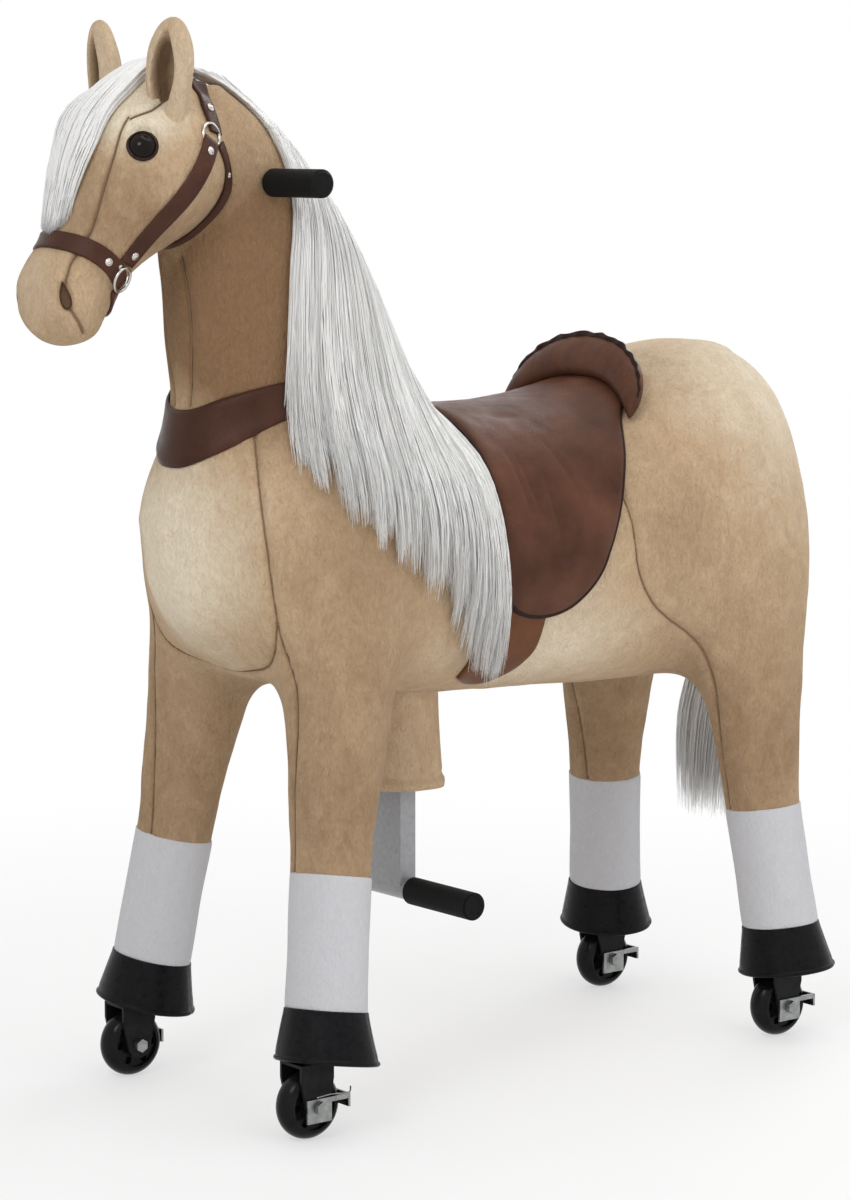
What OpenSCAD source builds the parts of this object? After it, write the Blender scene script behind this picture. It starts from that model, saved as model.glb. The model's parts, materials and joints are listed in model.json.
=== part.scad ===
// Ride-on galloping horse: a stuffed horse over a steel linkage that runs on four one-way wheels.
// X points forward, Y to the horse's left and Z up. The origin is on the floor under the middle of the box.

/* [Running gear] */
// Front axle ahead of the origin
front_axle_x = 299; // [294:1:304]
// Distance between the front and rear axles
wheelbase = 654; // [640:1:668]
// Distance between the two front wheels
front_track = 313; // [305:1:321]
// Distance between the two rear wheels
rear_track = 292; // [284:1:300]
// Wheel diameter
wheel_d = 70; // [66:1:74]
// Wheel width
wheel_w = 26; // [24:1:28]
// Axle bolt diameter
axle_d = 8; // [7:0.5:9]
// Outside diameter of a wheel bearing
bearing_d = 22; // [20:1:24]
// Width of a wheel bearing
bearing_w = 7; // [6:0.5:8]
// Gap between the wheel and each fork plate
fork_gap = 2; // [1.5:0.5:3]
// Thickness of the fork plates
fork_t = 3; // [2.5:0.5:4]
// Width of a fork plate at the top
fork_w = 40; // [36:1:44]
// Gap between the wheel and the top of its fork
fork_clear = 6; // [5:1:8]
// Thickness of the pawl plates
pawl_t = 2.5; // [2:0.5:3]

/* [Hooves and socks] */
// Height of a hoof
hoof_h = 52; // [48:1:56]
// Diameter of a hoof at the top
hoof_top_d = 84; // [82:1:86]
// Diameter of a hoof at the bottom
hoof_bottom_d = 107; // [104:1:110]
// Diameter of the hollow under a hoof
hoof_hollow_d = 80; // [76:1:82]
// Height of a sock
sock_h = 131; // [124:1:138]
// Diameter of a sock
sock_d = 83; // [80:1:85]

/* [Legs] */
// Height of the two leg pivots
pivot_z = 585; // [578:1:592]
// Front pivot behind the front axle
front_lean = 102; // [96:1:108]
// Rear pivot ahead of the rear axle
rear_lean = 27; // [22:1:32]
// Diameter of a stuffed leg above its sock
leg_d = 80; // [77:1:83]
// Diameter of the leg tubes
leg_tube_d = 20; // [18:1:22]
// Wall of the steel tubes
tube_wall = 2; // [1.5:0.5:3]
// Leg tubes' distance from the middle at the pivot
boss_y = 92; // [92:1:98]
// Diameter of the pivot sleeves
sleeve_d = 34; // [32:1:36]
// Diameter of the pivot pins
pin_d = 20; // [18:1:22]
// Radius of the round top of a front leg
front_joint_r = 190; // [188:1:194]
// Radius of the round top of a rear leg
rear_joint_r = 200; // [197:1:203]
// Swing of the legs in degrees
swing = 10; // [8:0.5:10]
// Turn of the front end in degrees
turn = 10; // [8:0.5:10]

/* [Body] */
// Height of the belly
belly_z = 400; // [394:1:406]
// Depth of the body from back to belly
body_depth = 300; // [294:1:306]
// Width of the body
body_w = 300; // [292:1:308]
// Chest ahead of the front pivot
chest_overhang = 160; // [156:1:164]
// Rump behind the rear pivot
rump_overhang = 130; // [124:1:136]
// Thickness of the padding
padding = 24; // [20:1:26]

/* [Neck and head] */
// Radius of the round neck base that turns on the body
turntable_r = 150; // [146:1:152]
// Height of the neck base
turntable_z = 650; // [648:1:654]
// Height of the neck form
neck_h = 435; // [425:1:445]
// Length of the neck at its base
neck_l = 310; // [300:1:314]
// Width of the neck at its base
neck_w = 240; // [230:1:250]
// Forward sweep of the neck
neck_reach = 110; // [102:1:118]
// Head ahead of the front pivot
head_forward = 130; // [124:1:136]
// Head above the pivots
head_rise = 415; // [408:1:422]
// Tilt of the head in degrees
head_tilt = 47; // [42:1:50]
// Length of the head
head_length = 296; // [286:1:306]
// Depth of the head
head_depth = 147; // [141:1:153]
// Width of the head
head_w = 154; // [148:1:160]
// Height of an ear
ear_h = 95; // [89:1:101]
// Width of an ear
ear_w = 58; // [54:1:62]
// Diameter of an eye
eye_d = 30; // [26:1:34]
// Thickness of the leather straps
strap_t = 3; // [2:0.5:4]
// Width of the leather straps
strap_w = 20; // [16:1:24]
// Thickness of the mane
mane_t = 18; // [14:1:22]

/* [Handle and pedals] */
// Handle ahead of the front pivot
bar_forward = 75; // [71:1:79]
// Handle above the pivots
bar_rise = 355; // [350:1:360]
// Diameter of the handle bar
bar_d = 22; // [20:1:24]
// Diameter of a handle grip
grip_d = 28; // [26:1:31]
// Length of a handle grip
grip_l = 82; // [76:1:88]
// Diameter of the steering stem
stem_d = 28; // [26:1:30]
// Outside diameter of the head tube
head_tube_d = 42; // [40:1:44]
// Pedal column behind the front pivot
pedal_back = 125; // [122:1:128]
// Height of the pedals
pedal_z = 200; // [194:1:206]
// Width of the pedal column
column_w = 60; // [56:1:62]
// Thickness of the pedal column
column_t = 20; // [18:1:22]
// Length of a pedal grip
pedal_grip_l = 100; // [90:1:102]
// Diameter of a pedal grip
pedal_grip_d = 29; // [26:1:30]

/* [Saddle] */
// Thickness of the saddle
saddle_t = 12; // [10:1:14]
// Length of the saddle
saddle_l = 273; // [263:1:283]
// Height of the padded roll behind the seat
cantle_h = 40; // [34:1:46]
// Thickness of the padded roll behind the seat
cantle_t = 50; // [46:1:54]
// Length of the girth flap
girth_l = 80; // [70:1:90]

/* [Hidden] */
FRONT = 0;
REAR = 1;
LEFT = 1;
RIGHT = -1;

// Clearances, and the overrun of every cut
cut = 1;
soft_gap = 0.4;
strap_gap = 1.2;
run_gap = 0.06;
seat_gap = 0.1;
fine = 48;
ring_n = 28;

// Main places
front_pivot_x = front_axle_x - front_lean;
rear_axle_x = front_axle_x - wheelbase;
rear_pivot_x = rear_axle_x + rear_lean;
body_front_x = front_pivot_x + chest_overhang;
body_back_x = rear_pivot_x - rump_overhang;
body_length = body_front_x - body_back_x;
sole_z = wheel_d + fork_clear / 2;
fork_top_z = wheel_d + fork_clear + fork_t;
bar_x = front_pivot_x + bar_forward;
bar_z = pivot_z + bar_rise;
pedal_x = front_pivot_x - pedal_back;
head_x = front_pivot_x + head_forward;
head_z = pivot_z + head_rise;

// Smooth curves through rows of numbers
function lerp(a, b, t) = a + (b - a) * t;
function unit(v) = v / norm(v);
function curve(p0, p1, p2, p3, t) =
    0.5 * (2 * p1 + (p2 - p0) * t + (2 * p0 - 5 * p1 + 4 * p2 - p3) * t * t
        + (3 * p1 - p0 - 3 * p2 + p3) * t * t * t);
function smooth(rows, steps) = concat(
    [for (i = [0:len(rows) - 2], j = [0:steps - 1])
        curve(rows[max(i - 1, 0)], rows[i], rows[i + 1], rows[min(i + 2, len(rows) - 1)], j / steps)],
    [rows[len(rows) - 1]]);
function at(rows, t) = [for (k = [0:len(rows[0]) - 1]) lookup(t, [for (r = rows) [r[0], r[k]]])];
fullness = 2.3;
function bulge(c) = sign(c) * pow(abs(c), 2 / fullness);

// A skin over rings of points, closed at its ends or joined end to end
module skin(rings, loop = false, sheet = false) {
    n = len(rings[0]);
    m = len(rings);
    points = [for (r = rings) each r];
    last = loop ? m - 1 : m - 2;
    sides = [for (j = [0:last], i = [0:n - 1])
        let (k = (j + 1) % m, a = j * n + i, b = j * n + (i + 1) % n,
            c = k * n + i, d = k * n + (i + 1) % n)
        each [[a, d, b], [a, c, d]]];
    end = sheet ? [for (i = [0:n / 2 - 2]) each [[i, i + 1, n - 2 - i], [i, n - 2 - i, n - 1 - i]]]
        : [for (i = [1:n - 2]) [0, i, i + 1]];
    far_end = [for (t = end) [t[0], t[2], t[1]] + [1, 1, 1] * (m - 1) * n];
    polyhedron(points, loop ? sides : concat(sides, end, far_end));
}
function oval(c, u, v, n) = [for (i = [0:n - 1]) c + u * cos(360 * i / n) + v * sin(360 * i / n)];
function full_oval(c, u, v, n) =
    [for (i = [0:n - 1]) c + u * bulge(cos(360 * i / n)) + v * bulge(sin(360 * i / n))];

// Straight pieces between two points
seam_turn = 35;
module along(p, q) {
    v = q - p;
    translate(p) rotate([0, acos(v.z / norm(v)), atan2(v.y, v.x)]) children();
}
module rod(p, q, d, turn = 0) {
    along(p, q) rotate(turn) cylinder(d = d, h = norm(q - p), $fn = fine);
}
module tube(p, q, d, wall) {
    length = norm(q - p);
    along(p, q) rotate(seam_turn) difference() {
        cylinder(d = d, h = length, $fn = fine);
        translate([0, 0, wall]) cylinder(d = d - 2 * wall, h = length - 2 * wall, $fn = fine);
    }
}
module cross_rod(x, z, d, half) {
    rod([x, -half, z], [x, half, z], d);
}
module cross_bore(x, z, d, half) {
    rod([x, -half - cut, z], [x, half + cut, z], d);
}
module hex_nut(d, h) {
    cylinder(d = d, h = h, $fn = 6);
}

// Body: share of the length from rump to chest, bottom and top as shares of the depth, share of the width
torso_shares = [
    [0, 0.61, 0.72, 0.06], [0.011, 0.36, 0.96, 0.37], [0.038, 0.16, 1.07, 0.6], [0.097, 0.03, 1.17, 0.84],
    [0.18, -0.01, 1.2, 1], [0.3, -0.015, 1.075, 1.04], [0.43, 0, 1.005, 1], [0.57, 0.01, 0.99, 0.98],
    [0.69, 0.03, 1.015, 1], [0.795, 0.07, 1.05, 0.97], [0.89, 0.145, 1.015, 0.83],
    [0.955, 0.275, 0.91, 0.56], [0.988, 0.4, 0.775, 0.31], [1, 0.53, 0.63, 0.06]
];
torso_rows = smooth(torso_shares, 2);
tip_share = 0.3;
function torso_share(x) = (x - body_back_x) / body_length;
function grown(half, grow) = max(half + grow, half * tip_share);
function torso_mid_z(r) = belly_z + body_depth * (r[1] + r[2]) / 2;
function torso_half_z(r, grow) = grown(body_depth * (r[2] - r[1]) / 2, grow);
function torso_half_y(r, grow) = grown(body_w / 2 * r[3], grow);
function torso_ring(r, grow, n) = let (mid = body_back_x + body_length / 2)
    full_oval([mid + (r[0] - 0.5) * (body_length + 2 * grow), 0, torso_mid_z(r)],
        [0, torso_half_y(r, grow), 0], [0, 0, torso_half_z(r, grow)], n);
function torso_point(s, a, grow) = let (r = at(torso_rows, s))
    [body_back_x + s * body_length, torso_half_y(r, grow) * bulge(cos(a)),
        torso_mid_z(r) + torso_half_z(r, grow) * bulge(sin(a))];
function beside(v, half) = pow(max(1 - pow(min(abs(v) / half, 1), fullness), 0), 1 / fullness);
function torso_side_y(x, z, grow) = let (r = at(torso_rows, torso_share(x)))
    torso_half_y(r, grow) * beside(z - torso_mid_z(r), torso_half_z(r, grow));
function torso_under_z(x, y) = let (r = at(torso_rows, torso_share(x)))
    torso_mid_z(r) - torso_half_z(r, 0) * beside(y, torso_half_y(r, 0));
module torso_form(grow) {
    skin([for (r = torso_rows) torso_ring(r, grow, ring_n)]);
}

// Legs: share of the height from sole to pivot, then forward and outward offset, half length and half width
// as shares of the leg's diameter
front_leg_shares = [
    [0, -0.19, 0.1, 0.5, 0.5], [0.1, -0.125, 0.09, 0.5, 0.5], [0.357, -0.05, 0.08, 0.5, 0.49],
    [0.5, 0, 0.1, 0.57, 0.55], [0.64, 0.03, 0.1, 0.67, 0.62], [0.775, 0.1, 0.06, 0.82, 0.68],
    [0.93, 0.2, -0.03, 1, 0.72], [1.07, 0.28, -0.1, 1.05, 0.72]
];
rear_leg_shares = [
    [0, -0.15, 0.11, 0.5, 0.5], [0.1, -0.1, 0.11, 0.5, 0.5], [0.357, 0, 0.09, 0.51, 0.49],
    [0.5, 0, 0.1, 0.61, 0.55], [0.64, -0.01, 0.08, 0.77, 0.63], [0.775, -0.03, 0.04, 0.98, 0.7],
    [0.93, -0.04, -0.01, 1.2, 0.75], [1.07, 0, -0.06, 1.25, 0.78]
];
hoof_share = hoof_h / (pivot_z - sole_z);
sock_share = (hoof_h + sock_h) / (pivot_z - sole_z);
function leg_shares(end) = end == FRONT ? front_leg_shares : rear_leg_shares;
function pivot_x(end) = end == FRONT ? front_pivot_x : rear_pivot_x;
function joint_r(end) = end == FRONT ? front_joint_r : rear_joint_r;
function axle(end, side) = [end == FRONT ? front_axle_x : rear_axle_x,
    side * (end == FRONT ? front_track : rear_track) / 2, wheel_d / 2];
function boss(end, side) = [pivot_x(end), side * boss_y, pivot_z];
function on_tube(end, side, z) = let (a = axle(end, side), b = boss(end, side))
    a + (b - a) * (z - a.z) / (b.z - a.z);
function leg_up(end, side) = unit(boss(end, side) - axle(end, side));
function leg_fore(end, side) = let (d = leg_up(end, side)) unit([d.z, 0, -d.x]);
function leg_out(end, side) = cross(leg_up(end, side), leg_fore(end, side));
function leg_centre(end, side, r) =
    on_tube(end, side, lerp(sole_z, pivot_z, r[0])) + [r[1], side * r[2], 0] * leg_d;
function leg_ring(end, side, r, half_x, half_y) =
    oval(leg_centre(end, side, r), leg_fore(end, side) * half_x, leg_out(end, side) * half_y, ring_n);
function leg_rows(end) = let (rows = leg_shares(end))
    concat([at(rows, sock_share)], [for (r = rows) if (r[0] > sock_share + 0.01) r]);
module leg_form(end, side) {
    skin([for (r = smooth(leg_rows(end), 2)) leg_ring(end, side, r, r[3] * leg_d, r[4] * leg_d)]);
}
module leg_bore(end, side) {
    rod(on_tube(end, side, wheel_d), boss(end, side), leg_tube_d + 2 * seat_gap, seam_turn);
}
module leg_plush(end, side) {
    difference() {
        leg_form(end, side);
        translate([pivot_x(end), 0, pivot_z]) sphere(r = joint_r(end), $fn = 2 * fine);
        leg_bore(end, side);
    }
}
module socks(end) {
    waist_share = 0.97;
    for (side = [LEFT, RIGHT]) difference() {
        skin([for (r = [[hoof_share, 1], [lerp(hoof_share, sock_share, 0.5), waist_share], [sock_share, 1]])
            leg_ring(end, side, at(leg_shares(end), r[0]), sock_d / 2 * r[1], sock_d / 2 * r[1])]);
        leg_bore(end, side);
    }
}
hoof_rim_shares = [[0, 0.97], [0.2, 1]];
module hooves(end) {
    rims = [for (r = hoof_rim_shares) [hoof_share * r[0] / 2, hoof_bottom_d / 2 * r[1]]];
    slope = [for (t = [0.35, 1]) [hoof_share * t, lerp(hoof_bottom_d, hoof_top_d, t) / 2]];
    for (side = [LEFT, RIGHT]) difference() {
        skin([for (r = concat(rims, slope))
            leg_ring(end, side, at(leg_shares(end), r[0]), r[1], r[1])]);
        hollow = leg_centre(end, side, at(leg_shares(end), 0));
        tip = axle(end, side);
        translate([lerp(hollow.x, tip.x, 0.35), lerp(hollow.y, tip.y, 0.35), 0])
            cylinder(d = hoof_hollow_d, h = fork_top_z, $fn = fine);
        leg_bore(end, side);
    }
}

// Neck: share of the height, share of the sweep, shares of the base's length and width
neck_shares = [
    [0, 0, 1, 1], [0.14, -0.05, 0.95, 0.875], [0.28, -0.04, 0.87, 0.75], [0.41, 0.105, 0.8, 0.67],
    [0.55, 0.262, 0.73, 0.61], [0.69, 0.46, 0.63, 0.575], [0.8, 0.65, 0.51, 0.55], [0.92, 0.89, 0.36, 0.48],
    [1, 1.05, 0.17, 0.25]
];
neck_rows = smooth(neck_shares, 2);
neck_sink = 50;
neck_offset = 8;
neck_foot_z = turntable_z - neck_sink;
function neck_mid(r) = [front_pivot_x + neck_offset + r[1] * neck_reach, 0, neck_foot_z + r[0] * neck_h];
function neck_point(t, a, grow) = let (r = at(neck_rows, t), s = [0, 0, (t - r[0]) * neck_h])
    neck_mid(r) + s + [(r[2] * neck_l / 2 + grow) * cos(a), (r[3] * neck_w / 2 + grow) * sin(a), 0];
module neck_form() {
    skin([for (r = neck_rows)
        oval(neck_mid(r), [r[2] * neck_l / 2, 0, 0], [0, r[3] * neck_w / 2, 0], ring_n)]);
}

// Head: share of the length, top and bottom as shares of the depth, share of the width
head_shares = [
    [0, 0.24, 0.03, 0.1], [0.048, 0.374, -0.17, 0.45], [0.096, 0.46, -0.31, 0.71],
    [0.224, 0.544, -0.41, 0.92], [0.351, 0.565, -0.435, 1], [0.479, 0.49, -0.395, 0.91],
    [0.607, 0.374, -0.32, 0.78], [0.719, 0.272, -0.293, 0.65], [0.815, 0.252, -0.34, 0.66],
    [0.895, 0.204, -0.36, 0.65], [0.965, 0.068, -0.272, 0.44], [1, -0.034, -0.15, 0.1]
];
head_rows = smooth(head_shares, 2);
head_behind_share = 0.096;
head_fore = [cos(head_tilt), 0, -sin(head_tilt)];
head_up = [sin(head_tilt), 0, cos(head_tilt)];
head_left = [0, 1, 0];
function head_mid(r) = [head_x, 0, head_z] + head_fore * (r[0] - head_behind_share) * head_length
    + head_up * head_depth * (r[1] + r[2]) / 2;
function head_half_up(r, grow) = head_depth * (r[1] - r[2]) / 2 + grow;
function head_half_y(r, grow) = head_w / 2 * r[3] + grow;
function head_point(s, a, grow) = let (r = at(head_rows, s))
    head_mid(r) + head_left * head_half_y(r, grow) * cos(a) + head_up * head_half_up(r, grow) * sin(a);
function head_normal(s, a) = let (
    along_s = head_point(min(s + 0.02, 1), a, 0) - head_point(max(s - 0.02, 0), a, 0),
    along_a = head_point(s, a + 3, 0) - head_point(s, a - 3, 0)) unit(cross(along_a, along_s));
module head_form() {
    skin([for (r = head_rows)
        oval(head_mid(r), head_left * head_half_y(r, 0), head_up * head_half_up(r, 0), ring_n)]);
}

// A strap over points of the head, each given as a share of its length and an angle from its left side
function strap_rings(path, w, lift, t, loop) = let (n = len(path),
    p = [for (k = path) head_point(k[0], k[1], 0)])
    [for (i = [0:n - 1]) let (
        before = loop ? (i + n - 1) % n : max(i - 1, 0),
        after = loop ? (i + 1) % n : min(i + 1, n - 1),
        up = head_normal(path[i][0], path[i][1]),
        across = unit(cross(up, p[after] - p[before])))
        let (side = across * w / 2 * path[i][2], high = up * (lift + t * path[i][3]), low = up * lift)
        [p[i] - side + low, p[i] + side + low, p[i] + side + high, p[i] - side + high]];
module strap(path, loop = false) {
    lift = loop ? strap_gap * 1.2 : strap_gap;
    skin(strap_rings(loop ? path : smooth(path, 4), strap_w, lift, strap_t, loop), loop);
}
function mirrored(path) = [for (k = path) [k[0], 180 - k[1], k[2], k[3]]];

// Mechanism inside the body
rail_y = 55;
rail_w = 16;
rail_h = 40;
rail_rise = 33;
rail_z = pivot_z + rail_rise;
rail_top_z = rail_z + rail_h / 2;
rail_inner_y = rail_y - rail_w / 2;
rail_outer_y = rail_y + rail_w / 2;
rail_set_back = 45;
rail_front_x = front_pivot_x - rail_set_back;
rail_back_x = rear_pivot_x - sleeve_d * 0.7;
neck_plate_t = 8;
neck_plate_l = 40;
bush_t = 2;
bush_flange = 5;
head_tube_rise = 10;
head_tube_low_z = pivot_z + sleeve_d / 2 + head_tube_rise;
head_tube_h = 78;
head_tube_bore = stem_d + 2 * bush_t;
crown_half = 26;
sleeve_end_y = boss_y + sleeve_d * 0.44;
nut_h = 6;
nut_d = 30;
brace_d = 16;
arm_t = 6;
loose_gap = 5;
eye_wall = 5;
link_w = 14;
link_d = 12;

// Pedal linkage: a brace on the front legs lifts the column through a link
brace_drop = 65;
front_brace = on_tube(FRONT, LEFT, pivot_z - brace_drop);
lug_reach = 45;
lug_pin_d = 8;
lug_t = 4;
lug_x = pedal_x + column_t / 2 + lug_reach;
lug_drop = 130;
lug_z = pivot_z - lug_drop;
column_top_drop = 25;
column_top_z = pivot_z - column_top_drop;
guide_h = 60;
guide_drop = 85;
guide_low_z = pivot_z - guide_drop;
guide_wall = 6;
guide_gap = 0.3;

// Coupling rod: pushed back by an arm above the front pivot, it pushes a brace below the rear pivot
arm_back = 40;
arm_rise = 30;
arm_pin_d = 10;
arm_half = crown_half + arm_t + cut;
arm_x = front_pivot_x - arm_back;
arm_z = pivot_z + arm_rise;
rear_drop = 30;
rear_brace = on_tube(REAR, LEFT, pivot_z - rear_drop);
low_drop = 95;
low_brace = on_tube(REAR, LEFT, pivot_z - low_drop);

module backbone_frame() {
    head_tube_top = head_tube_low_z + head_tube_h;
    bar_half = rail_outer_y;
    color("dimgray") difference() {
        union() {
            for (side = [LEFT, RIGHT]) {
                translate([rail_back_x, side * rail_y - rail_w / 2, rail_z - rail_h / 2])
                    cube([rail_front_x - rail_back_x, rail_w, rail_h]);
                translate([rear_pivot_x - sleeve_d * 0.6, side * rail_y - rail_w / 2, pivot_z])
                    cube([sleeve_d * 1.2, rail_w, rail_rise]);
                rod([rear_pivot_x, side * rail_inner_y, pivot_z],
                    [rear_pivot_x, side * rail_outer_y, pivot_z], sleeve_d * 1.2);
                plate_y = side * (rail_inner_y - arm_t / 2) - arm_t / 2 - cut / 2;
                translate([pedal_x - column_t, plate_y, guide_low_z])
                    cube([2 * column_t, arm_t + cut, rail_z - guide_low_z]);
                translate([spring_bar_x - brace_d / 2, side * rail_y - arm_t / 2, spring_z - brace_d / 2])
                    cube([brace_d, arm_t, rail_z - spring_z]);
            }
            translate([rail_front_x - neck_plate_l, -rail_outer_y, rail_top_z])
                cube([front_pivot_x - rail_front_x + neck_plate_l, 2 * rail_outer_y, neck_plate_t]);
            translate([front_pivot_x, 0, head_tube_low_z])
                cylinder(d = head_tube_d, h = head_tube_h, $fn = fine);
            translate([pedal_x - column_t / 2 - guide_wall, -rail_inner_y, guide_low_z])
                cube([column_t + 2 * guide_wall, 2 * rail_inner_y, guide_h]);
            cross_rod(spring_bar_x, spring_z, spring_bar_d, bar_half);
        }
        translate([front_pivot_x, 0, head_tube_low_z - cut])
            cylinder(d = head_tube_bore, h = head_tube_h + 2 * cut, $fn = fine);
        translate([pedal_x - column_t / 2 - guide_gap, -column_w / 2 - guide_gap, guide_low_z - cut])
            cube([column_t + 2 * guide_gap, column_w + 2 * guide_gap, guide_h + 2 * cut]);
        cross_bore(rear_pivot_x, pivot_z, pin_d + 2 * seat_gap, rail_outer_y);
        for (p = board_bolts) translate([p.x, p.y, rail_z])
            cylinder(d = board_bolt_d, h = rail_h, $fn = fine);
    }
}

// Seat board on the rails
board_t = 12;
board_w = 150;
board_l = 300;
board_set_in = 50;
board_back_x = rear_pivot_x + board_set_in;
board_bolt_d = 6;
board_inset_share = 0.12;
board_bolts = [for (t = [board_inset_share, 1 - board_inset_share], side = [LEFT, RIGHT])
    [board_back_x + board_l * t, side * rail_y]];
module seat_board() {
    color("burlywood") difference() {
        translate([board_back_x, -board_w / 2, rail_top_z]) cube([board_l, board_w, board_t]);
        for (p = board_bolts) translate([p.x, p.y, rail_top_z - cut])
            cylinder(d = board_bolt_d + 2 * seat_gap, h = board_t + 2 * cut, $fn = fine);
    }
}
module seat_bolts() {
    head_h = board_bolt_d * 0.6;
    color("silver") for (p = board_bolts) {
        translate([p.x, p.y, rail_z + seat_gap])
            cylinder(d = board_bolt_d - 2 * seat_gap, h = rail_h / 2 + board_t, $fn = fine);
        translate([p.x, p.y, rail_top_z + board_t]) cylinder(d = board_bolt_d * 2, h = head_h, $fn = fine);
    }
}
module head_bushes() {
    length = head_tube_h * 0.35;
    color("ivory") for (top = [0, 1])
        translate([front_pivot_x, 0, head_tube_low_z + top * head_tube_h])
            mirror([0, 0, top]) difference() {
            union() {
                cylinder(d = head_tube_bore - 2 * seat_gap, h = length, $fn = fine);
                translate([0, 0, -bush_flange]) cylinder(d = head_tube_d, h = bush_flange, $fn = fine);
            }
            translate([0, 0, -bush_flange - cut])
                cylinder(d = stem_d + 2 * run_gap, h = length + bush_flange + 2 * cut, $fn = fine);
        }
}
module pivot_pin(x) {
    color("silver") {
        cross_rod(x, pivot_z, pin_d, sleeve_end_y + nut_h);
        for (side = [LEFT, RIGHT])
            along([x, side * (sleeve_end_y + soft_gap), pivot_z],
                [x, side * (sleeve_end_y + nut_h), pivot_z])
                hex_nut(nut_d, nut_h);
    }
}
module rear_pivot_pin() { pivot_pin(rear_pivot_x); }
module front_pivot_pin() { pivot_pin(front_pivot_x); }

// Extension springs between a bar on the backbone and the low brace of the rear legs
spring_d = 18;
spring_wire = 3;
spring_curls = 5;
spring_y = 25;
spring_bar_d = 12;
spring_reach = 150;
spring_bar_x = rear_pivot_x + spring_reach;
spring_z = pivot_z - low_drop;
spring_from_x = low_brace.x + brace_d / 2 + spring_wire / 2 + soft_gap;
spring_to_x = spring_bar_x - spring_bar_d / 2 - spring_wire / 2 - soft_gap;
curl_steps = 8;
wire_sides = 6;
function spring_at(t) = let (a = 360 * spring_curls * t, r = (spring_d - spring_wire) / 2)
    [lerp(spring_from_x, spring_to_x, t), r * cos(a), r * sin(a)];
function spring_ring(t) = let (c = spring_at(t), step = 0.5 / (spring_curls * curl_steps),
    out = unit([0, c.y, c.z]), dir = unit(spring_at(t + step) - spring_at(t - step)),
    up = unit(cross(dir, out)), flat = cross(up, dir))
    oval(c, flat * spring_wire / 2, up * spring_wire / 2, wire_sides);
spring_points = [for (i = [0:spring_curls * curl_steps]) spring_at(i / (spring_curls * curl_steps))];
echo("least gap in a gallop spring", min([for (i = [0:len(spring_points) - curl_steps - 1])
    norm(spring_points[i + curl_steps] - spring_points[i])]) - spring_wire);
module gallop_springs() {
    color("silver") for (side = [LEFT, RIGHT]) translate([0, side * spring_y, spring_z])
        skin([for (i = [0:spring_curls * curl_steps]) spring_ring(i / (spring_curls * curl_steps))]);
}

// Stuffed body: a padded shell, with a well for each leg tube's travel
well_gap = 4;
module swung(end, s, t) {
    p = [pivot_x(end), 0, pivot_z];
    translate(p) rotate([0, 0, t]) rotate([0, (end == FRONT ? -1 : 1) * s, 0]) translate(-p) children();
}
module leg_well(end, side) {
    turns = end == FRONT ? [-turn, turn] : [0];
    foot = on_tube(end, side, pivot_z - joint_r(end));
    for (half = [0, 1]) hull() for (s = [half, half + 1] * swing / 2, t = turns)
        swung(end, s, t) along(foot, boss(end, side))
            cylinder(d = leg_tube_d + 2 * well_gap, h = norm(boss(end, side) - foot), $fn = ring_n / 2);
}
module turntable(r, low_z) {
    translate([front_pivot_x, 0, low_z]) cylinder(r = r, h = neck_h, $fn = 2 * fine);
}
module torso_plush() {
    slot_gap = 8;
    color("burlywood") difference() {
        union() {
            torso_form(0);
            for (end = [FRONT, REAR], side = [LEFT, RIGHT]) intersection() {
                leg_form(end, side);
                translate([pivot_x(end), 0, pivot_z])
                    sphere(r = joint_r(end) - 2 * soft_gap, $fn = 2 * ring_n);
            }
        }
        torso_form(-padding);
        for (end = [FRONT, REAR], side = [LEFT, RIGHT]) leg_well(end, side);
        hull() for (s = [0, swing]) swung(REAR, s, 0)
            cross_rod(low_brace.x, low_brace.z, brace_d + 2 * well_gap, low_brace.y);
        turntable(turntable_r + soft_gap / 2, turntable_z - soft_gap / 2);
        translate([front_pivot_x, 0, pivot_z - nut_d / 2 - well_gap])
            cylinder(r = sleeve_end_y + nut_h + well_gap, h = nut_d + 2 * well_gap, $fn = fine);
        cross_rod(rear_pivot_x, pivot_z, sleeve_d + 2 * well_gap, sleeve_end_y + nut_h + well_gap);
        translate([pedal_x - column_t / 2 - slot_gap, -column_w / 2 - slot_gap, belly_z - body_depth / 2])
            cube([column_t + 2 * slot_gap, column_w + 2 * slot_gap, body_depth]);
    }
}

// An arched piece of leather on the body: each row gives a share of its length and its two end angles
leather_gap = 2.4;
function arch_ring(x, from, to, inner, outer, n) = let (s = torso_share(x))
    concat([for (i = [0:n]) torso_point(s, lerp(from, to, i / n), outer * (0.6 + 0.4 * sin(180 * i / n)))],
        [for (i = [n:-1:0]) torso_point(s, lerp(from, to, i / n), inner)]);
module arch(x, length, rows, t, n, gap = leather_gap) {
    skin([for (r = smooth(rows, 2)) arch_ring(x + r[0] * length, r[1], r[2], gap, gap + t, n)],
        sheet = true);
}
saddle_set = 152;
saddle_back_x = front_pivot_x - saddle_set - saddle_l;
top_angle = 90;
saddle_angle_shares = [
    [0, 20], [0.24, 34], [0.345, 57], [0.48, 88], [0.62, 103], [0.76, 108], [0.9, 106], [1, 98]
];
module saddle_seat() {
    rows = [for (r = saddle_angle_shares) [r[0], top_angle - r[1], top_angle + r[1]]];
    color("saddlebrown") arch(saddle_back_x, saddle_l, rows, saddle_t, 20);
}
girth_angle_shares = [[0, -26, -24], [0.2, -50, -21], [0.5, -60, -20], [0.8, -60, -20], [1, -52, -22]];
girth_t = 4;
module saddle_girth() {
    color("peru") for (side = [LEFT, RIGHT]) scale([1, side, 1])
        arch(saddle_back_x + saddle_l - girth_l * 0.85, girth_l, girth_angle_shares, girth_t, 7,
            leather_gap * 0.55);
}
cantle_angle = 35;
cantle_sweep_share = 0.12;
cantle_set_share = 0.09;
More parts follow.
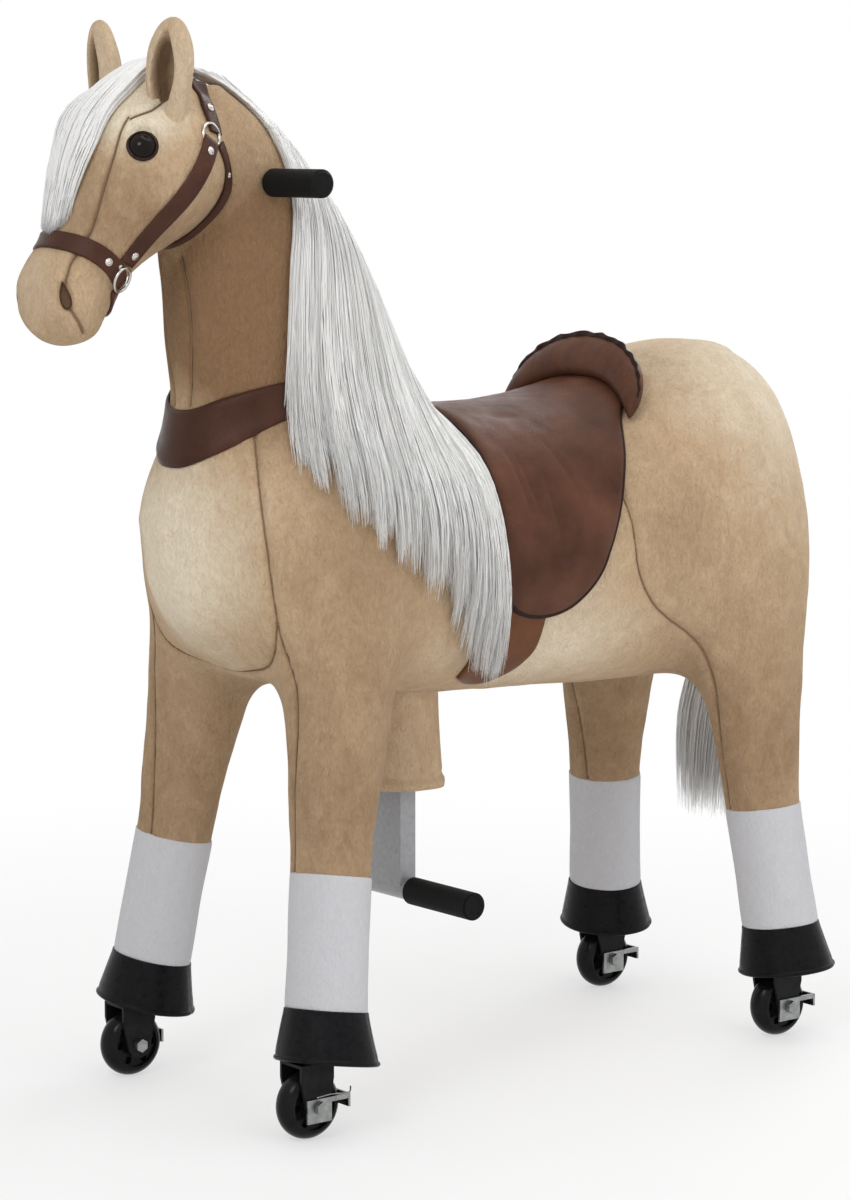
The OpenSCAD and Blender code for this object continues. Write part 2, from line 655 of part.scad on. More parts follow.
function cantle_ring(k) = let (
    a = top_angle + k * cantle_angle,
    x = saddle_back_x + saddle_l * (cantle_set_share + cantle_sweep_share * k * k),
    thick = 1 - 0.72 * k * k,
    half_up = cantle_h / 2 * thick,
    base = torso_point(torso_share(x), a, leather_gap * 2 + saddle_t),
    up = unit(torso_point(torso_share(x), a, saddle_t * 2) - torso_point(torso_share(x), a, 0)))
    oval(base + up * half_up, [cantle_t / 2 * thick, 0, 0], up * half_up, ring_n / 2);
module saddle_cantle() {
    steps = 10;
    color("saddlebrown") skin([for (i = [-steps:steps]) cantle_ring(i / steps)]);
}

// Plush sleeve that hangs round the pedal column
sleeve_hang_z = 110;
sleeve_low_z = pedal_z + sleeve_hang_z;
sleeve_half_x = 46;
sleeve_half_y = 56;
sleeve_clear = 12;
sleeve_flare_share = 1.1;
function sleeve_ring(half_x, half_y, z) = oval([pedal_x, 0, z], [half_x, 0, 0], [0, half_y, 0], ring_n);
function under_belly(ring) = [for (p = ring) [p.x, p.y, torso_under_z(p.x, p.y) - soft_gap]];
module pedal_sleeve() {
    inner_x = column_t / 2 + sleeve_clear;
    inner_y = column_w / 2 + sleeve_clear;
    flare_x = sleeve_half_x * sleeve_flare_share;
    flare_y = sleeve_half_y * sleeve_flare_share;
    mid_z = lerp(sleeve_low_z, belly_z, 0.5);
    color("tan") skin([
        sleeve_ring(flare_x, flare_y, sleeve_low_z), sleeve_ring(sleeve_half_x, sleeve_half_y, mid_z),
        under_belly(sleeve_ring(sleeve_half_x, sleeve_half_y, 0)),
        under_belly(sleeve_ring(inner_x, inner_y, 0)),
        sleeve_ring(inner_x, inner_y, sleeve_low_z)], true);
}

// Hair: tail, mane and forelock
tail_half_x = 20;
tail_half_y = 52;
tail_shares = [
    [0, -1.3, 0, 0.3], [0.06, -1, 0, 0.5], [0.16, 0.1, -0.15, 0.8], [0.42, 0.3, -0.9, 1],
    [0.75, 0.2, -1.5, 0.9], [1, 0.1, -1.6, 0.25]
];
tail_top_z = belly_z + body_depth * 0.76;
tail_h = 435;
module tail_hair() {
    root_x = body_back_x - tail_half_x * 1.3;
    color("ivory") difference() {
        skin([for (i = [len(tail_rows) - 1:-1:0]) let (r = tail_rows[i])
            oval([root_x - r[1] * tail_half_x, r[2] * tail_half_y, tail_top_z - r[0] * tail_h],
                [tail_half_x * min(r[3] * 1.2, 1), 0, 0], [0, tail_half_y * r[3], 0], ring_n / 2)]);
        torso_form(soft_gap);
    }
}
tail_rows = smooth(tail_shares, 3);
mane_crest_shares = [
    [0.29, 0.4, 1.055, 2.4], [0.42, 0.445, 1.055, 1.6], [0.55, 0.47, 1.055, 1.25], [0.7, 0.57, 1.055, 1],
    [0.85, 0.62, 1.055, 0.9], [0.95, 0.67, 1.1, 0.8], [1.03, 0.83, 1.16, 0.6]
];
mane_fall_top_z = neck_foot_z + mane_crest_shares[0][0] * neck_h - 1.5 * soft_gap;
mane_fall_h = 258;
mane_fall_shares = [
    [0, -0.95, -0.83, 0.4], [0.13, -0.97, -0.5, 0.8], [0.32, -0.98, -0.03, 1], [0.52, -1, 0.3, 1.1],
    [0.71, -1.02, 0.57, 1.1], [1, -1.04, 0.67, 0.8]
];
function fall_in(x, z) = let (dx = min(abs(x - front_pivot_x), turntable_r))
    max(torso_side_y(x, z, saddle_t + 3 * leather_gap),
        sqrt(pow(turntable_r + 3 * leather_gap, 2) - dx * dx));
function fall_ring(r) = let (z = mane_fall_top_z - mane_fall_h * (1 - r[0]), n = 16)
    concat([for (i = [0:n]) let (x = front_pivot_x + turntable_r * lerp(r[2], r[1], i / n))
            [x, fall_in(x, z) + mane_t * r[3] * (0.35 + 0.65 * sin(180 * i / n)), z]],
        [for (i = [n:-1:0]) let (x = front_pivot_x + turntable_r * lerp(r[2], r[1], i / n))
            [x, fall_in(x, z), z]]);
module mane_fall() {
    color("ivory") skin([for (r = smooth(mane_fall_shares, 2)) fall_ring(r)], sheet = true);
}
hair_gap = 2.5;
function crest_ring(r) = let (n = 14)
    concat([for (i = [0:n]) neck_point(r[0], 180 * lerp(r[1], r[2], i / n),
            hair_gap + mane_t * r[3] * (0.3 + 0.7 * sin(180 * i / n)))],
        [for (i = [n:-1:0]) neck_point(r[0], 180 * lerp(r[1], r[2], i / n), hair_gap)]);
module mane_crest() {
    color("ivory") difference() {
        skin([for (r = smooth(mane_crest_shares, 2)) crest_ring(r)], sheet = true);
        cross_bore(bar_x, bar_z, grip_d + 2 * hair_gap, neck_w);
    }
}
forelock_shares = [
    [0.17, 90, 1.8, 2], [0.3, 88, 3.2, 4], [0.45, 84, 3, 4], [0.58, 82, 2, 3], [0.685, 80, 0.8, 1.5]
];
module forelock_hair() {
    color("ivory") strap(forelock_shares);
}

// Steering: stem, gooseneck, handlebar and grips
stem_bend_rise = 215;
stem_bend_z = pivot_z + stem_bend_rise;
stem_collar_t = 4;
stem_collar_d = stem_d + 2 * stem_collar_t;
clamp_wall = 6;
clamp_half = 22;
module steering_stem() {
    foot_z = pivot_z + sleeve_d / 2 - tube_wall;
    color("dimgray") difference() {
        union() {
            cross_rod(front_pivot_x, pivot_z, sleeve_d, crown_half);
            translate([front_pivot_x, 0, foot_z])
                cylinder(d = stem_d, h = stem_bend_z - foot_z, $fn = fine);
            translate([front_pivot_x, 0, foot_z])
                cylinder(d = stem_collar_d, $fn = fine,
                    h = head_tube_low_z - bush_flange - soft_gap - foot_z);
            translate([front_pivot_x, 0, stem_bend_z]) sphere(d = stem_d, $fn = fine);
            rod([front_pivot_x, 0, stem_bend_z], [bar_x, 0, bar_z], stem_d * 0.9);
            cross_rod(bar_x, bar_z, bar_d + 2 * clamp_wall, clamp_half);
        }
        cross_bore(front_pivot_x, pivot_z, pin_d + 2 * seat_gap, crown_half);
        cross_bore(bar_x, bar_z, bar_d + 2 * seat_gap, clamp_half);
    }
}
grip_from_y = 72;
grip_end_wall = 4;
module handlebar() {
    half = grip_from_y + grip_l - grip_end_wall - seat_gap;
    color("silver") difference() {
        cross_rod(bar_x, bar_z, bar_d, half);
        cross_bore(bar_x, bar_z, bar_d - 2 * tube_wall, half);
    }
}
module handle_grip(side) {
    bevel = grip_d * 0.12;
    color("dimgray") along([bar_x, side * grip_from_y, bar_z],
        [bar_x, side * (grip_from_y + grip_l), bar_z]) difference() {
            union() {
                cylinder(d = grip_d, h = grip_l - bevel, $fn = fine);
                translate([0, 0, grip_l - bevel])
                    cylinder(d1 = grip_d, d2 = grip_d - 2 * bevel, h = bevel, $fn = fine);
            }
            translate([0, 0, -cut])
                cylinder(d = bar_d + 2 * seat_gap, h = grip_l - grip_end_wall + cut, $fn = fine);
        }
}
module handle_grip_left() { handle_grip(LEFT); }
module handle_grip_right() { handle_grip(RIGHT); }

// Neck, head and what they wear
pocket_gap = 4;
module neck_plush() {
    color("burlywood") difference() {
        union() {
            neck_form();
            intersection() {
                torso_form(0);
                turntable(turntable_r - soft_gap / 2, turntable_z);
            }
        }
        translate([front_pivot_x - neck_l, -neck_w, turntable_z + soft_gap / 2 - neck_h])
            cube([2 * neck_l, 2 * neck_w, neck_h]);
        translate([front_pivot_x, 0, turntable_z - cut])
            cylinder(d = head_tube_d + 2 * pocket_gap, $fn = fine,
                h = head_tube_low_z + head_tube_h + bush_flange + pocket_gap - turntable_z + cut);
        translate([front_pivot_x, 0, turntable_z])
            cylinder(d = stem_d + 2 * seat_gap, h = stem_bend_z - turntable_z, $fn = fine);
        translate([front_pivot_x, 0, stem_bend_z]) sphere(d = stem_d + 2 * seat_gap, $fn = fine);
        rod([front_pivot_x, 0, stem_bend_z], [bar_x, 0, bar_z], stem_d * 0.9 + 2 * seat_gap);
        cross_bore(bar_x, bar_z, bar_d + 2 * clamp_wall + 2 * seat_gap, clamp_half);
        cross_bore(bar_x, bar_z, grip_d + 2 * seat_gap, neck_w / 2);
    }
}
module head_plush() {
    color("burlywood") difference() {
        head_form();
        neck_form();
    }
}
ear_shares = [
    [0, 0.6, 0.6, 0], [0.2, 0.85, 0.65, 0.02], [0.45, 1, 0.55, 0.05], [0.7, 0.84, 0.4, 0.08],
    [0.9, 0.5, 0.26, 0.1], [1, 0.14, 0.14, 0.11]
];
ear_t_share = 0.5;
ear_forward = 60;
ear_rise = 5;
ear_apart = 55;
ear_turn = 8;
function ear_rings() = [for (r = smooth(ear_shares, 2))
    oval([r[3] * ear_h, r[3] * ear_h, r[0] * ear_h], [ear_w / 2 * ear_t_share * r[2], 0, 0],
        [0, ear_w / 2 * r[1], 0], ring_n / 2)];
module ears() {
    base = [head_x + ear_forward, ear_apart, head_z + ear_rise];
    color("burlywood") for (side = [LEFT, RIGHT]) difference() {
        scale([1, side, 1]) translate(base) rotate([0, 0, ear_turn]) difference() {
            skin(ear_rings());
            translate([ear_w * 0.2, 0, ear_h * 0.2]) scale([0.8, 0.72, 0.72]) skin(ear_rings());
        }
        head_form();
    }
}
eye_place_share = [0.367, 36];
eye_h = 9;
module eyes() {
    p = head_point(eye_place_share[0], eye_place_share[1], 0);
    up = head_normal(eye_place_share[0], eye_place_share[1]);
    color("black") for (side = [LEFT, RIGHT]) scale([1, side, 1])
        along(p + up * soft_gap, p + up * (soft_gap + eye_h)) intersection() {
            cylinder(d = eye_d, h = eye_h, $fn = fine);
            translate([0, 0, eye_h - eye_dome_r]) sphere(r = eye_dome_r, $fn = fine);
        }
}
eye_dome_r = (pow(eye_d / 2, 2) + pow(eye_h * 0.8, 2)) / (2 * eye_h * 0.8);
collar_shares = [
    [-130, 0.3, 0.34], [-90, 0.26, 0.325], [-45, 0.18, 0.28], [0, 0.13, 0.245], [30, 0.155, 0.265],
    [66, 0.225, 0.3]
];
module neck_collar() {
    color("sienna") skin([for (r = smooth(collar_shares, 4)) [
        neck_point(r[1], r[0], strap_gap), neck_point(r[2], r[0], strap_gap),
        neck_point(r[2], r[0], strap_gap + strap_t), neck_point(r[1], r[0], strap_gap + strap_t)]]);
}
ring_d = 27;
ring_wire = 3;
ring_lift = strap_gap + strap_t + ring_wire * 0.75;
upper_ring_share = [0.183, -4];
lower_ring_share = [0.724, -25];
noseband_share = 0.717;
module halter_noseband() {
    color("sienna") strap([for (a = [0:10:350]) [noseband_share + 0.025 * sin(a) * sin(a), a, 1, 1]], true);
}
cheek_shares = [[0.675, -22, 1, 1], [0.52, -16, 1, 1], [0.37, -11, 1, 1], [0.205, -5, 1, 1]];
module halter_cheek_straps() {
    color("sienna") for (path = [cheek_shares, mirrored(cheek_shares)]) strap(path);
}
crown_shares = [
    [0.155, 7, 1, 1], [0.105, 45, 1, 1], [0.085, 90, 1, 1], [0.105, 135, 1, 1], [0.155, 173, 1, 1]
];
module halter_crown_strap() {
    color("sienna") strap(crown_shares);
}
throat_shares = [
    [0.22, -22, 1, 1], [0.3, -50, 1, 1], [0.34, -90, 1, 1], [0.3, -130, 1, 1], [0.22, -158, 1, 1]
];
module halter_throat_strap() {
    color("sienna") difference() {
        strap(throat_shares);
        neck_form();
    }
}
module halter_rings() {
    places = [upper_ring_share, lower_ring_share];
    color("silver") for (place = places, side = [LEFT, RIGHT]) scale([1, side, 1]) {
        p = head_point(place[0], place[1], 0);
        up = head_normal(place[0], place[1]);
        along(p + up * ring_lift, p + up * 2 * ring_lift)
            rotate_extrude($fn = fine) translate([(ring_d - ring_wire) / 2, 0])
                circle(d = ring_wire, $fn = ring_n);
    }
}

// Front and rear legs
module leg_tubes(end) {
    for (side = [LEFT, RIGHT]) difference() {
        tube(on_tube(end, side, wheel_d), boss(end, side), leg_tube_d, tube_wall);
        foot = axle(end, side);
        translate([foot.x - hoof_bottom_d, foot.y - hoof_bottom_d, fork_top_z - hoof_h])
            cube([2 * hoof_bottom_d, 2 * hoof_bottom_d, hoof_h]);
    }
}
module pivot_sleeves(end, from_y) {
    for (side = [LEFT, RIGHT])
        rod([pivot_x(end), side * from_y, pivot_z], [pivot_x(end), side * sleeve_end_y, pivot_z], sleeve_d);
}
module pivot_bore(end) {
    cross_bore(pivot_x(end), pivot_z, pin_d + 2 * run_gap, sleeve_end_y);
}
module front_leg_frame() {
    color("dimgray") difference() {
        union() {
            leg_tubes(FRONT);
            pivot_sleeves(FRONT, crown_half + soft_gap);
            cross_rod(front_brace.x, front_brace.z, brace_d, front_brace.y);
            cross_rod(arm_x, arm_z, arm_pin_d, arm_half);
            for (side = [LEFT, RIGHT])
                translate([0, side * (crown_half + soft_gap + arm_t / 2), 0]) hull() {
                cross_rod(front_pivot_x, pivot_z, sleeve_d * 0.8, arm_t / 2, $fn = ring_n);
                cross_rod(arm_x, arm_z, arm_pin_d + arm_t, arm_t / 2, $fn = ring_n);
            }
        }
        pivot_bore(FRONT);
    }
}
module rear_leg_frame() {
    color("dimgray") difference() {
        union() {
            leg_tubes(REAR);
            pivot_sleeves(REAR, rail_outer_y + soft_gap);
            cross_rod(rear_brace.x, rear_brace.z, brace_d, rear_brace.y);
            cross_rod(low_brace.x, low_brace.z, brace_d, low_brace.y);
        }
        pivot_bore(REAR);
    }
}
module front_leg_left() { color("burlywood") leg_plush(FRONT, LEFT); }
module front_leg_right() { color("burlywood") leg_plush(FRONT, RIGHT); }
module rear_leg_left() { color("burlywood") leg_plush(REAR, LEFT); }
module rear_leg_right() { color("burlywood") leg_plush(REAR, RIGHT); }
module front_socks() { color("white") socks(FRONT); }
module rear_socks() { color("white") socks(REAR); }
module front_hooves() { color("black") hooves(FRONT); }
module rear_hooves() { color("black") hooves(REAR); }

// Wheel forks, axles and wheels
fork_half = wheel_w / 2 + fork_gap + fork_t;
fork_eye_d = 28;
pawl_ahead = 15;
pawl_above = 9;
pawl_arm_h = 5;
pawl_below = 15;
pawl_travel = 2;
pawl_gap = 0.6;
function pawl_side(end, side) = end == FRONT ? side : LEFT;
module fork_plate(y) {
    translate([0, y, 0]) rotate([90, 0, 0]) linear_extrude(fork_t) hull() {
        circle(d = fork_eye_d, $fn = 32);
        translate([-fork_w / 2, wheel_d / 2 + fork_clear - fork_eye_d / 2])
            square([fork_w, fork_eye_d / 2 + fork_t]);
    }
}
module forks(end) {
    for (side = [LEFT, RIGHT]) translate(axle(end, side)) difference() {
        union() {
            fork_plate(fork_half);
            fork_plate(-fork_half + fork_t);
            translate([-fork_w / 2, -fork_half, wheel_d / 2 + fork_clear])
                cube([fork_w, 2 * fork_half, fork_t]);
        }
        cross_bore(0, 0, axle_d + 2 * seat_gap, fork_half);
    }
}
module front_forks() { color("black") forks(FRONT); }
module rear_forks() { color("black") forks(REAR); }
module axle_bolts(end) {
    bolt_head = axle_d * 0.65;
    for (side = [LEFT, RIGHT]) translate(axle(end, side)) for (face = [LEFT, RIGHT]) {
        reach = fork_half + (face == pawl_side(end, side) ? pawl_t + 2 * soft_gap : 0);
        rod([0, -face * cut, 0], [0, face * (reach + bolt_head), 0], axle_d);
        along([0, face * reach, 0], [0, face * (reach + bolt_head), 0]) hex_nut(axle_d * 1.8, bolt_head);
        along([0, face * (wheel_w / 2 + soft_gap), 0], [0, face * (fork_half - fork_t), 0])
            cylinder(d = axle_d * 1.5, h = fork_gap - soft_gap, $fn = fine);
    }
}
module front_axle_bolts() { color("silver") axle_bolts(FRONT); }
module rear_axle_bolts() { color("silver") axle_bolts(REAR); }
pocket_count = 6;
hub_wall = 3;
pocket_depth_share = 0.3;
recess_share = 0.12;
tread_r = wheel_w * 0.577;
module wheel(end, side) {
    hub_r = bearing_d / 2 + hub_wall;
    rim_r = wheel_d / 2 * 0.7;
    pocket_r = (rim_r - hub_r) * 0.4;
    color("dimgray") translate(axle(end, side)) rotate([90, 0, 0]) difference() {
        intersection() {
            cylinder(d = wheel_d, h = wheel_w, center = true, $fn = 2 * fine);
            union() {
                rotate_extrude($fn = 2 * fine) translate([wheel_d / 2 - tread_r, 0])
                    circle(r = tread_r, $fn = fine);
                cylinder(r = wheel_d / 2 - tread_r, h = wheel_w, center = true, $fn = fine);
            }
        }
        for (face = [0, 1]) mirror([0, 0, face]) {
            translate([0, 0, wheel_w / 2 - wheel_w * recess_share]) difference() {
                cylinder(r = rim_r, h = wheel_w, $fn = fine);
                translate([0, 0, -cut]) cylinder(r = hub_r, h = wheel_w + 2 * cut, $fn = fine);
            }
            for (i = [0:pocket_count - 1]) rotate([0, 0, 360 * i / pocket_count])
                translate([(rim_r + hub_r) / 2, 0, wheel_w / 2 - wheel_w * pocket_depth_share])
                    cylinder(r = pocket_r, h = wheel_w, $fn = ring_n);
            translate([0, 0, wheel_w / 2 - bearing_w])
                cylinder(d = bearing_d + 2 * seat_gap, h = wheel_w, $fn = fine);
        }
        cylinder(d = axle_d * 1.6, h = wheel_w, center = true, $fn = fine);
    }
}
module bearings(end, side) {
    groove = bearing_w * 0.12;
    color("silver") translate(axle(end, side)) for (face = [0, 1])
        rotate([90, 0, 0]) mirror([0, 0, face]) translate([0, 0, wheel_w / 2 - bearing_w]) difference() {
            cylinder(d = bearing_d, h = bearing_w, $fn = fine);
            translate([0, 0, -cut]) cylinder(d = axle_d + 2 * run_gap, h = bearing_w + 2 * cut, $fn = fine);
            translate([0, 0, bearing_w - groove]) difference() {
                cylinder(d = bearing_d * 0.82, h = bearing_w, $fn = fine);
                translate([0, 0, -cut]) cylinder(d = bearing_d * 0.55, h = bearing_w + 2 * cut, $fn = fine);
            }
        }
}
module wheel_front_left() { wheel(FRONT, LEFT); }
module wheel_front_right() { wheel(FRONT, RIGHT); }
module wheel_rear_left() { wheel(REAR, LEFT); }
module wheel_rear_right() { wheel(REAR, RIGHT); }
module bearings_front_left() { bearings(FRONT, LEFT); }
module bearings_front_right() { bearings(FRONT, RIGHT); }
module bearings_rear_left() { bearings(REAR, LEFT); }
module bearings_rear_right() { bearings(REAR, RIGHT); }

// One-way pawl: a slotted plate on the axle, whose bent tab grips the tread when the wheel runs back
module pawl(end, side) {
    face = pawl_side(end, side);
    tab_x = -wheel_d / 2 - pawl_gap - pawl_t;
    tab_w = fork_half + pawl_t + soft_gap + wheel_w / 4;
    color("gainsboro") translate(axle(end, side)) scale([1, face, 1]) difference() {
        union() {
            translate([-pawl_ahead, fork_half + soft_gap, -pawl_below])
                cube([2 * pawl_ahead, pawl_t, pawl_below + pawl_above]);
            translate([tab_x, fork_half + soft_gap, pawl_above - pawl_arm_h])
                cube([-pawl_ahead + cut - tab_x, pawl_t, pawl_arm_h]);
            translate([tab_x, fork_half + soft_gap + pawl_t - tab_w, -pawl_above / 2])
                cube([pawl_t, tab_w, pawl_above * 1.5]);
        }
        for (x = [0, pawl_travel]) cross_bore(x, 0, axle_d + 2 * pawl_gap, fork_half + 2 * pawl_t);
        translate([0, fork_half, -axle_d / 2 - pawl_gap])
            cube([pawl_travel, 2 * pawl_t, axle_d + 2 * pawl_gap]);
    }
}
module pawl_front_left() { pawl(FRONT, LEFT); }
module pawl_front_right() { pawl(FRONT, RIGHT); }
module pawl_rear_left() { pawl(REAR, LEFT); }
module pawl_rear_right() { pawl(REAR, RIGHT); }

// Pedal column, grips and the two links
pedal_bare_l = 9;
pedal_from_y = column_w / 2 + pedal_bare_l;
pedal_tube_d = 22;
module pedal_column() {
    half = pedal_from_y + pedal_grip_l;
    color("silver") difference() {
        union() {
            translate([pedal_x - column_t / 2, -column_w / 2, pedal_z])
                cube([column_t, column_w, column_top_z - pedal_z]);
            cross_rod(pedal_x, pedal_z, pedal_tube_d, half);
            for (side = [LEFT, RIGHT]) translate([0, side * (link_w / 2 + soft_gap + lug_t / 2), 0]) {
                translate([pedal_x + column_t / 2 - cut, -lug_t / 2, lug_z - lug_pin_d])
                    cube([lug_reach + cut, lug_t, 2 * lug_pin_d]);
                cross_rod(lug_x, lug_z, 2 * lug_pin_d, lug_t / 2);
            }
            cross_rod(lug_x, lug_z, lug_pin_d, link_w / 2 + soft_gap + lug_t / 2);
        }
        cross_bore(pedal_x, pedal_z, pedal_tube_d - 2 * tube_wall, half);
        hollow_z = pedal_z + pedal_tube_d / 2 + tube_wall;
        translate([pedal_x - column_t / 2 + tube_wall, -column_w / 2 + tube_wall, hollow_z])
            cube([column_t - 2 * tube_wall, column_w - 2 * tube_wall, column_top_z - pedal_z]);
    }
}
module pedal_grips() {
    color("dimgray") for (side = [LEFT, RIGHT])
        along([pedal_x, side * pedal_from_y, pedal_z],
            [pedal_x, side * (pedal_from_y + pedal_grip_l), pedal_z]) difference() {
                cylinder(d = pedal_grip_d, h = pedal_grip_l, $fn = fine);
                translate([0, 0, -cut])
                    cylinder(d = pedal_tube_d + 2 * seat_gap, h = pedal_grip_l + 2 * cut, $fn = fine);
            }
}
module link(p, q, p_bore, q_bore) {
    color("slategray") difference() {
        union() {
            rod(p, q, link_d);
            cross_rod(p.x, p.z, p_bore + 2 * eye_wall, link_w / 2);
            cross_rod(q.x, q.z, q_bore + 2 * eye_wall, link_w / 2);
        }
        cross_bore(p.x, p.z, p_bore, link_w / 2);
        cross_bore(q.x, q.z, q_bore, link_w / 2);
    }
}
module pedal_link() {
    link([lug_x, 0, lug_z], [front_brace.x, 0, front_brace.z],
        lug_pin_d + 2 * run_gap, brace_d + 2 * loose_gap);
}
module coupling_rod() {
    link([rear_brace.x, 0, rear_brace.z], [arm_x, 0, arm_z],
        brace_d + 2 * run_gap, arm_pin_d + 2 * loose_gap);
}

backbone_frame();
seat_board();
seat_bolts();
head_bushes();
rear_pivot_pin();
gallop_springs();
torso_plush();
saddle_seat();
saddle_cantle();
saddle_girth();
pedal_sleeve();
tail_hair();
mane_fall();
steering_stem();
front_pivot_pin();
handlebar();
handle_grip_left();
handle_grip_right();
neck_plush();
head_plush();
ears();
eyes();
mane_crest();
forelock_hair();
neck_collar();
halter_noseband();
halter_cheek_straps();
halter_crown_strap();
halter_throat_strap();
halter_rings();
front_leg_frame();
front_leg_left();
front_leg_right();
front_socks();
front_hooves();
front_forks();
front_axle_bolts();
rear_leg_frame();
rear_leg_left();
rear_leg_right();
rear_socks();
rear_hooves();
rear_forks();
rear_axle_bolts();
pedal_column();
pedal_grips();
pedal_link();
coupling_rod();
wheel_front_left();
wheel_front_right();
wheel_rear_left();
wheel_rear_right();
bearings_front_left();
bearings_front_right();
bearings_rear_left();
bearings_rear_right();
pawl_front_left();
pawl_front_right();
pawl_rear_left();
pawl_rear_right();
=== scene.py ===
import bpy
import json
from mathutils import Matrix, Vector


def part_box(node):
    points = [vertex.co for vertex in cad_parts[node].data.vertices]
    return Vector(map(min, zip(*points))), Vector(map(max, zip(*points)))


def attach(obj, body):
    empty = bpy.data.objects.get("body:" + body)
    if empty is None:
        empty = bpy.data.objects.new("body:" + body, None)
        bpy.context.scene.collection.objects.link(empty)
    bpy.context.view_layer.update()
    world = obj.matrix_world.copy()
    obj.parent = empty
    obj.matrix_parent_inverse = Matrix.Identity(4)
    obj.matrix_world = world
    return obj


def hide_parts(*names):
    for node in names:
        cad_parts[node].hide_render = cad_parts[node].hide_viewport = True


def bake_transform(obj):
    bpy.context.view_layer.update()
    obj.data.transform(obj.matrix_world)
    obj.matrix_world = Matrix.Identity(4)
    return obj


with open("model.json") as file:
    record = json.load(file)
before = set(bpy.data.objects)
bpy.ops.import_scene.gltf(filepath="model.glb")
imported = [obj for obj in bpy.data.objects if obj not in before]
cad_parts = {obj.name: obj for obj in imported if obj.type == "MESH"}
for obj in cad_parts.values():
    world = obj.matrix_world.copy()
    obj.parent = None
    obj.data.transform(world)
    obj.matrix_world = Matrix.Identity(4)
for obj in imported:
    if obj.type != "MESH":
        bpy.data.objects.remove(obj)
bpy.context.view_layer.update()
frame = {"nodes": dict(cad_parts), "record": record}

import json
import math

import bmesh
import bpy
import numpy as np
import openvdb
from mathutils import Vector, kdtree, noise

rng = np.random.default_rng(7)
SIDES = (1, -1)

# Sizes of the part, in metres, as in its source
PIVOT_X = (0.197, -0.328)
AXLE_X = (0.299, -0.355)
AXLE_Y = (0.1565, 0.146)
AXLE_Z = 0.035
PIVOT_Z = 0.585
BOSS_Y = 0.092
SOLE_Z = 0.073
LEG_D = 0.08
HOOF_H = 0.052
SOCK_H = 0.131
SOCK_R = 0.0415
BODY_BACK_X = -0.458
BODY_L = 0.815
BELLY_Z = 0.4
BODY_D = 0.3
BODY_W = 0.3
FULL = 2.3
NECK_FOOT_Z = 0.6
NECK_H = 0.435
NECK_L = 0.31
NECK_W = 0.24
NECK_X = 0.205
NECK_REACH = 0.11
HEAD_X = 0.327
HEAD_Z = 1.0
HEAD_TILT = math.radians(47)
HEAD_L = 0.296
HEAD_D = 0.147
HEAD_W = 0.154
HEAD_BEHIND = 0.096
PEDAL_X = 0.072

# Sections along each form, as shares of its sizes. TORSO: place, low, top, wide. LEG: place, fore, out and
# half sizes. NECK: place, sweep and half sizes. HEAD: place, top, low, wide
TORSO = [
    [0, 0.61, 0.72, 0.06], [0.011, 0.36, 0.96, 0.37], [0.038, 0.16, 1.07, 0.6], [0.097, 0.03, 1.17, 0.84],
    [0.18, -0.01, 1.2, 1], [0.3, -0.015, 1.075, 1.04], [0.43, 0, 1.005, 1], [0.57, 0.01, 0.99, 0.98],
    [0.69, 0.03, 1.015, 1], [0.795, 0.07, 1.05, 0.97], [0.89, 0.145, 1.015, 0.83], [0.955, 0.275, 0.91, 0.56],
    [0.988, 0.4, 0.775, 0.31], [1, 0.53, 0.63, 0.06]]
LEG = ([
    [0, -0.19, 0.1, 0.5, 0.5], [0.1, -0.125, 0.09, 0.5, 0.5], [0.357, -0.05, 0.08, 0.5, 0.49],
    [0.5, 0, 0.1, 0.57, 0.55], [0.64, 0.03, 0.1, 0.67, 0.62], [0.775, 0.1, 0.06, 0.82, 0.68],
    [0.93, 0.2, -0.03, 1, 0.72], [1.07, 0.26, -0.14, 0.9, 0.66], [1.18, 0.26, -0.3, 0.6, 0.45],
    [1.25, 0.26, -0.4, 0.2, 0.15]], [
    [0, -0.15, 0.11, 0.5, 0.5], [0.1, -0.1, 0.11, 0.5, 0.5], [0.357, 0, 0.09, 0.51, 0.49],
    [0.5, 0, 0.1, 0.61, 0.55], [0.64, -0.01, 0.08, 0.77, 0.63], [0.775, -0.03, 0.04, 0.98, 0.7],
    [0.93, 0, -0.02, 1.15, 0.74], [1.07, 0.06, -0.1, 1.02, 0.7], [1.2, 0.12, -0.25, 0.7, 0.5],
    [1.28, 0.15, -0.35, 0.25, 0.2]])
NECK = [
    [0, 0, 1, 1], [0.14, -0.05, 0.95, 0.875], [0.28, -0.04, 0.87, 0.75], [0.41, 0.105, 0.8, 0.67],
    [0.55, 0.262, 0.73, 0.61], [0.69, 0.46, 0.63, 0.575], [0.8, 0.65, 0.51, 0.55], [0.92, 0.89, 0.36, 0.48],
    [1, 1.05, 0.17, 0.25]]
HEAD = [
    [0, 0.24, 0.03, 0.1], [0.048, 0.374, -0.17, 0.45], [0.096, 0.46, -0.31, 0.71], [0.224, 0.544, -0.41, 0.92],
    [0.351, 0.565, -0.435, 1], [0.479, 0.49, -0.395, 0.91], [0.607, 0.374, -0.32, 0.78],
    [0.719, 0.272, -0.293, 0.65], [0.815, 0.252, -0.34, 0.66], [0.895, 0.204, -0.36, 0.65],
    [0.965, 0.068, -0.272, 0.44], [1, -0.034, -0.15, 0.1]]


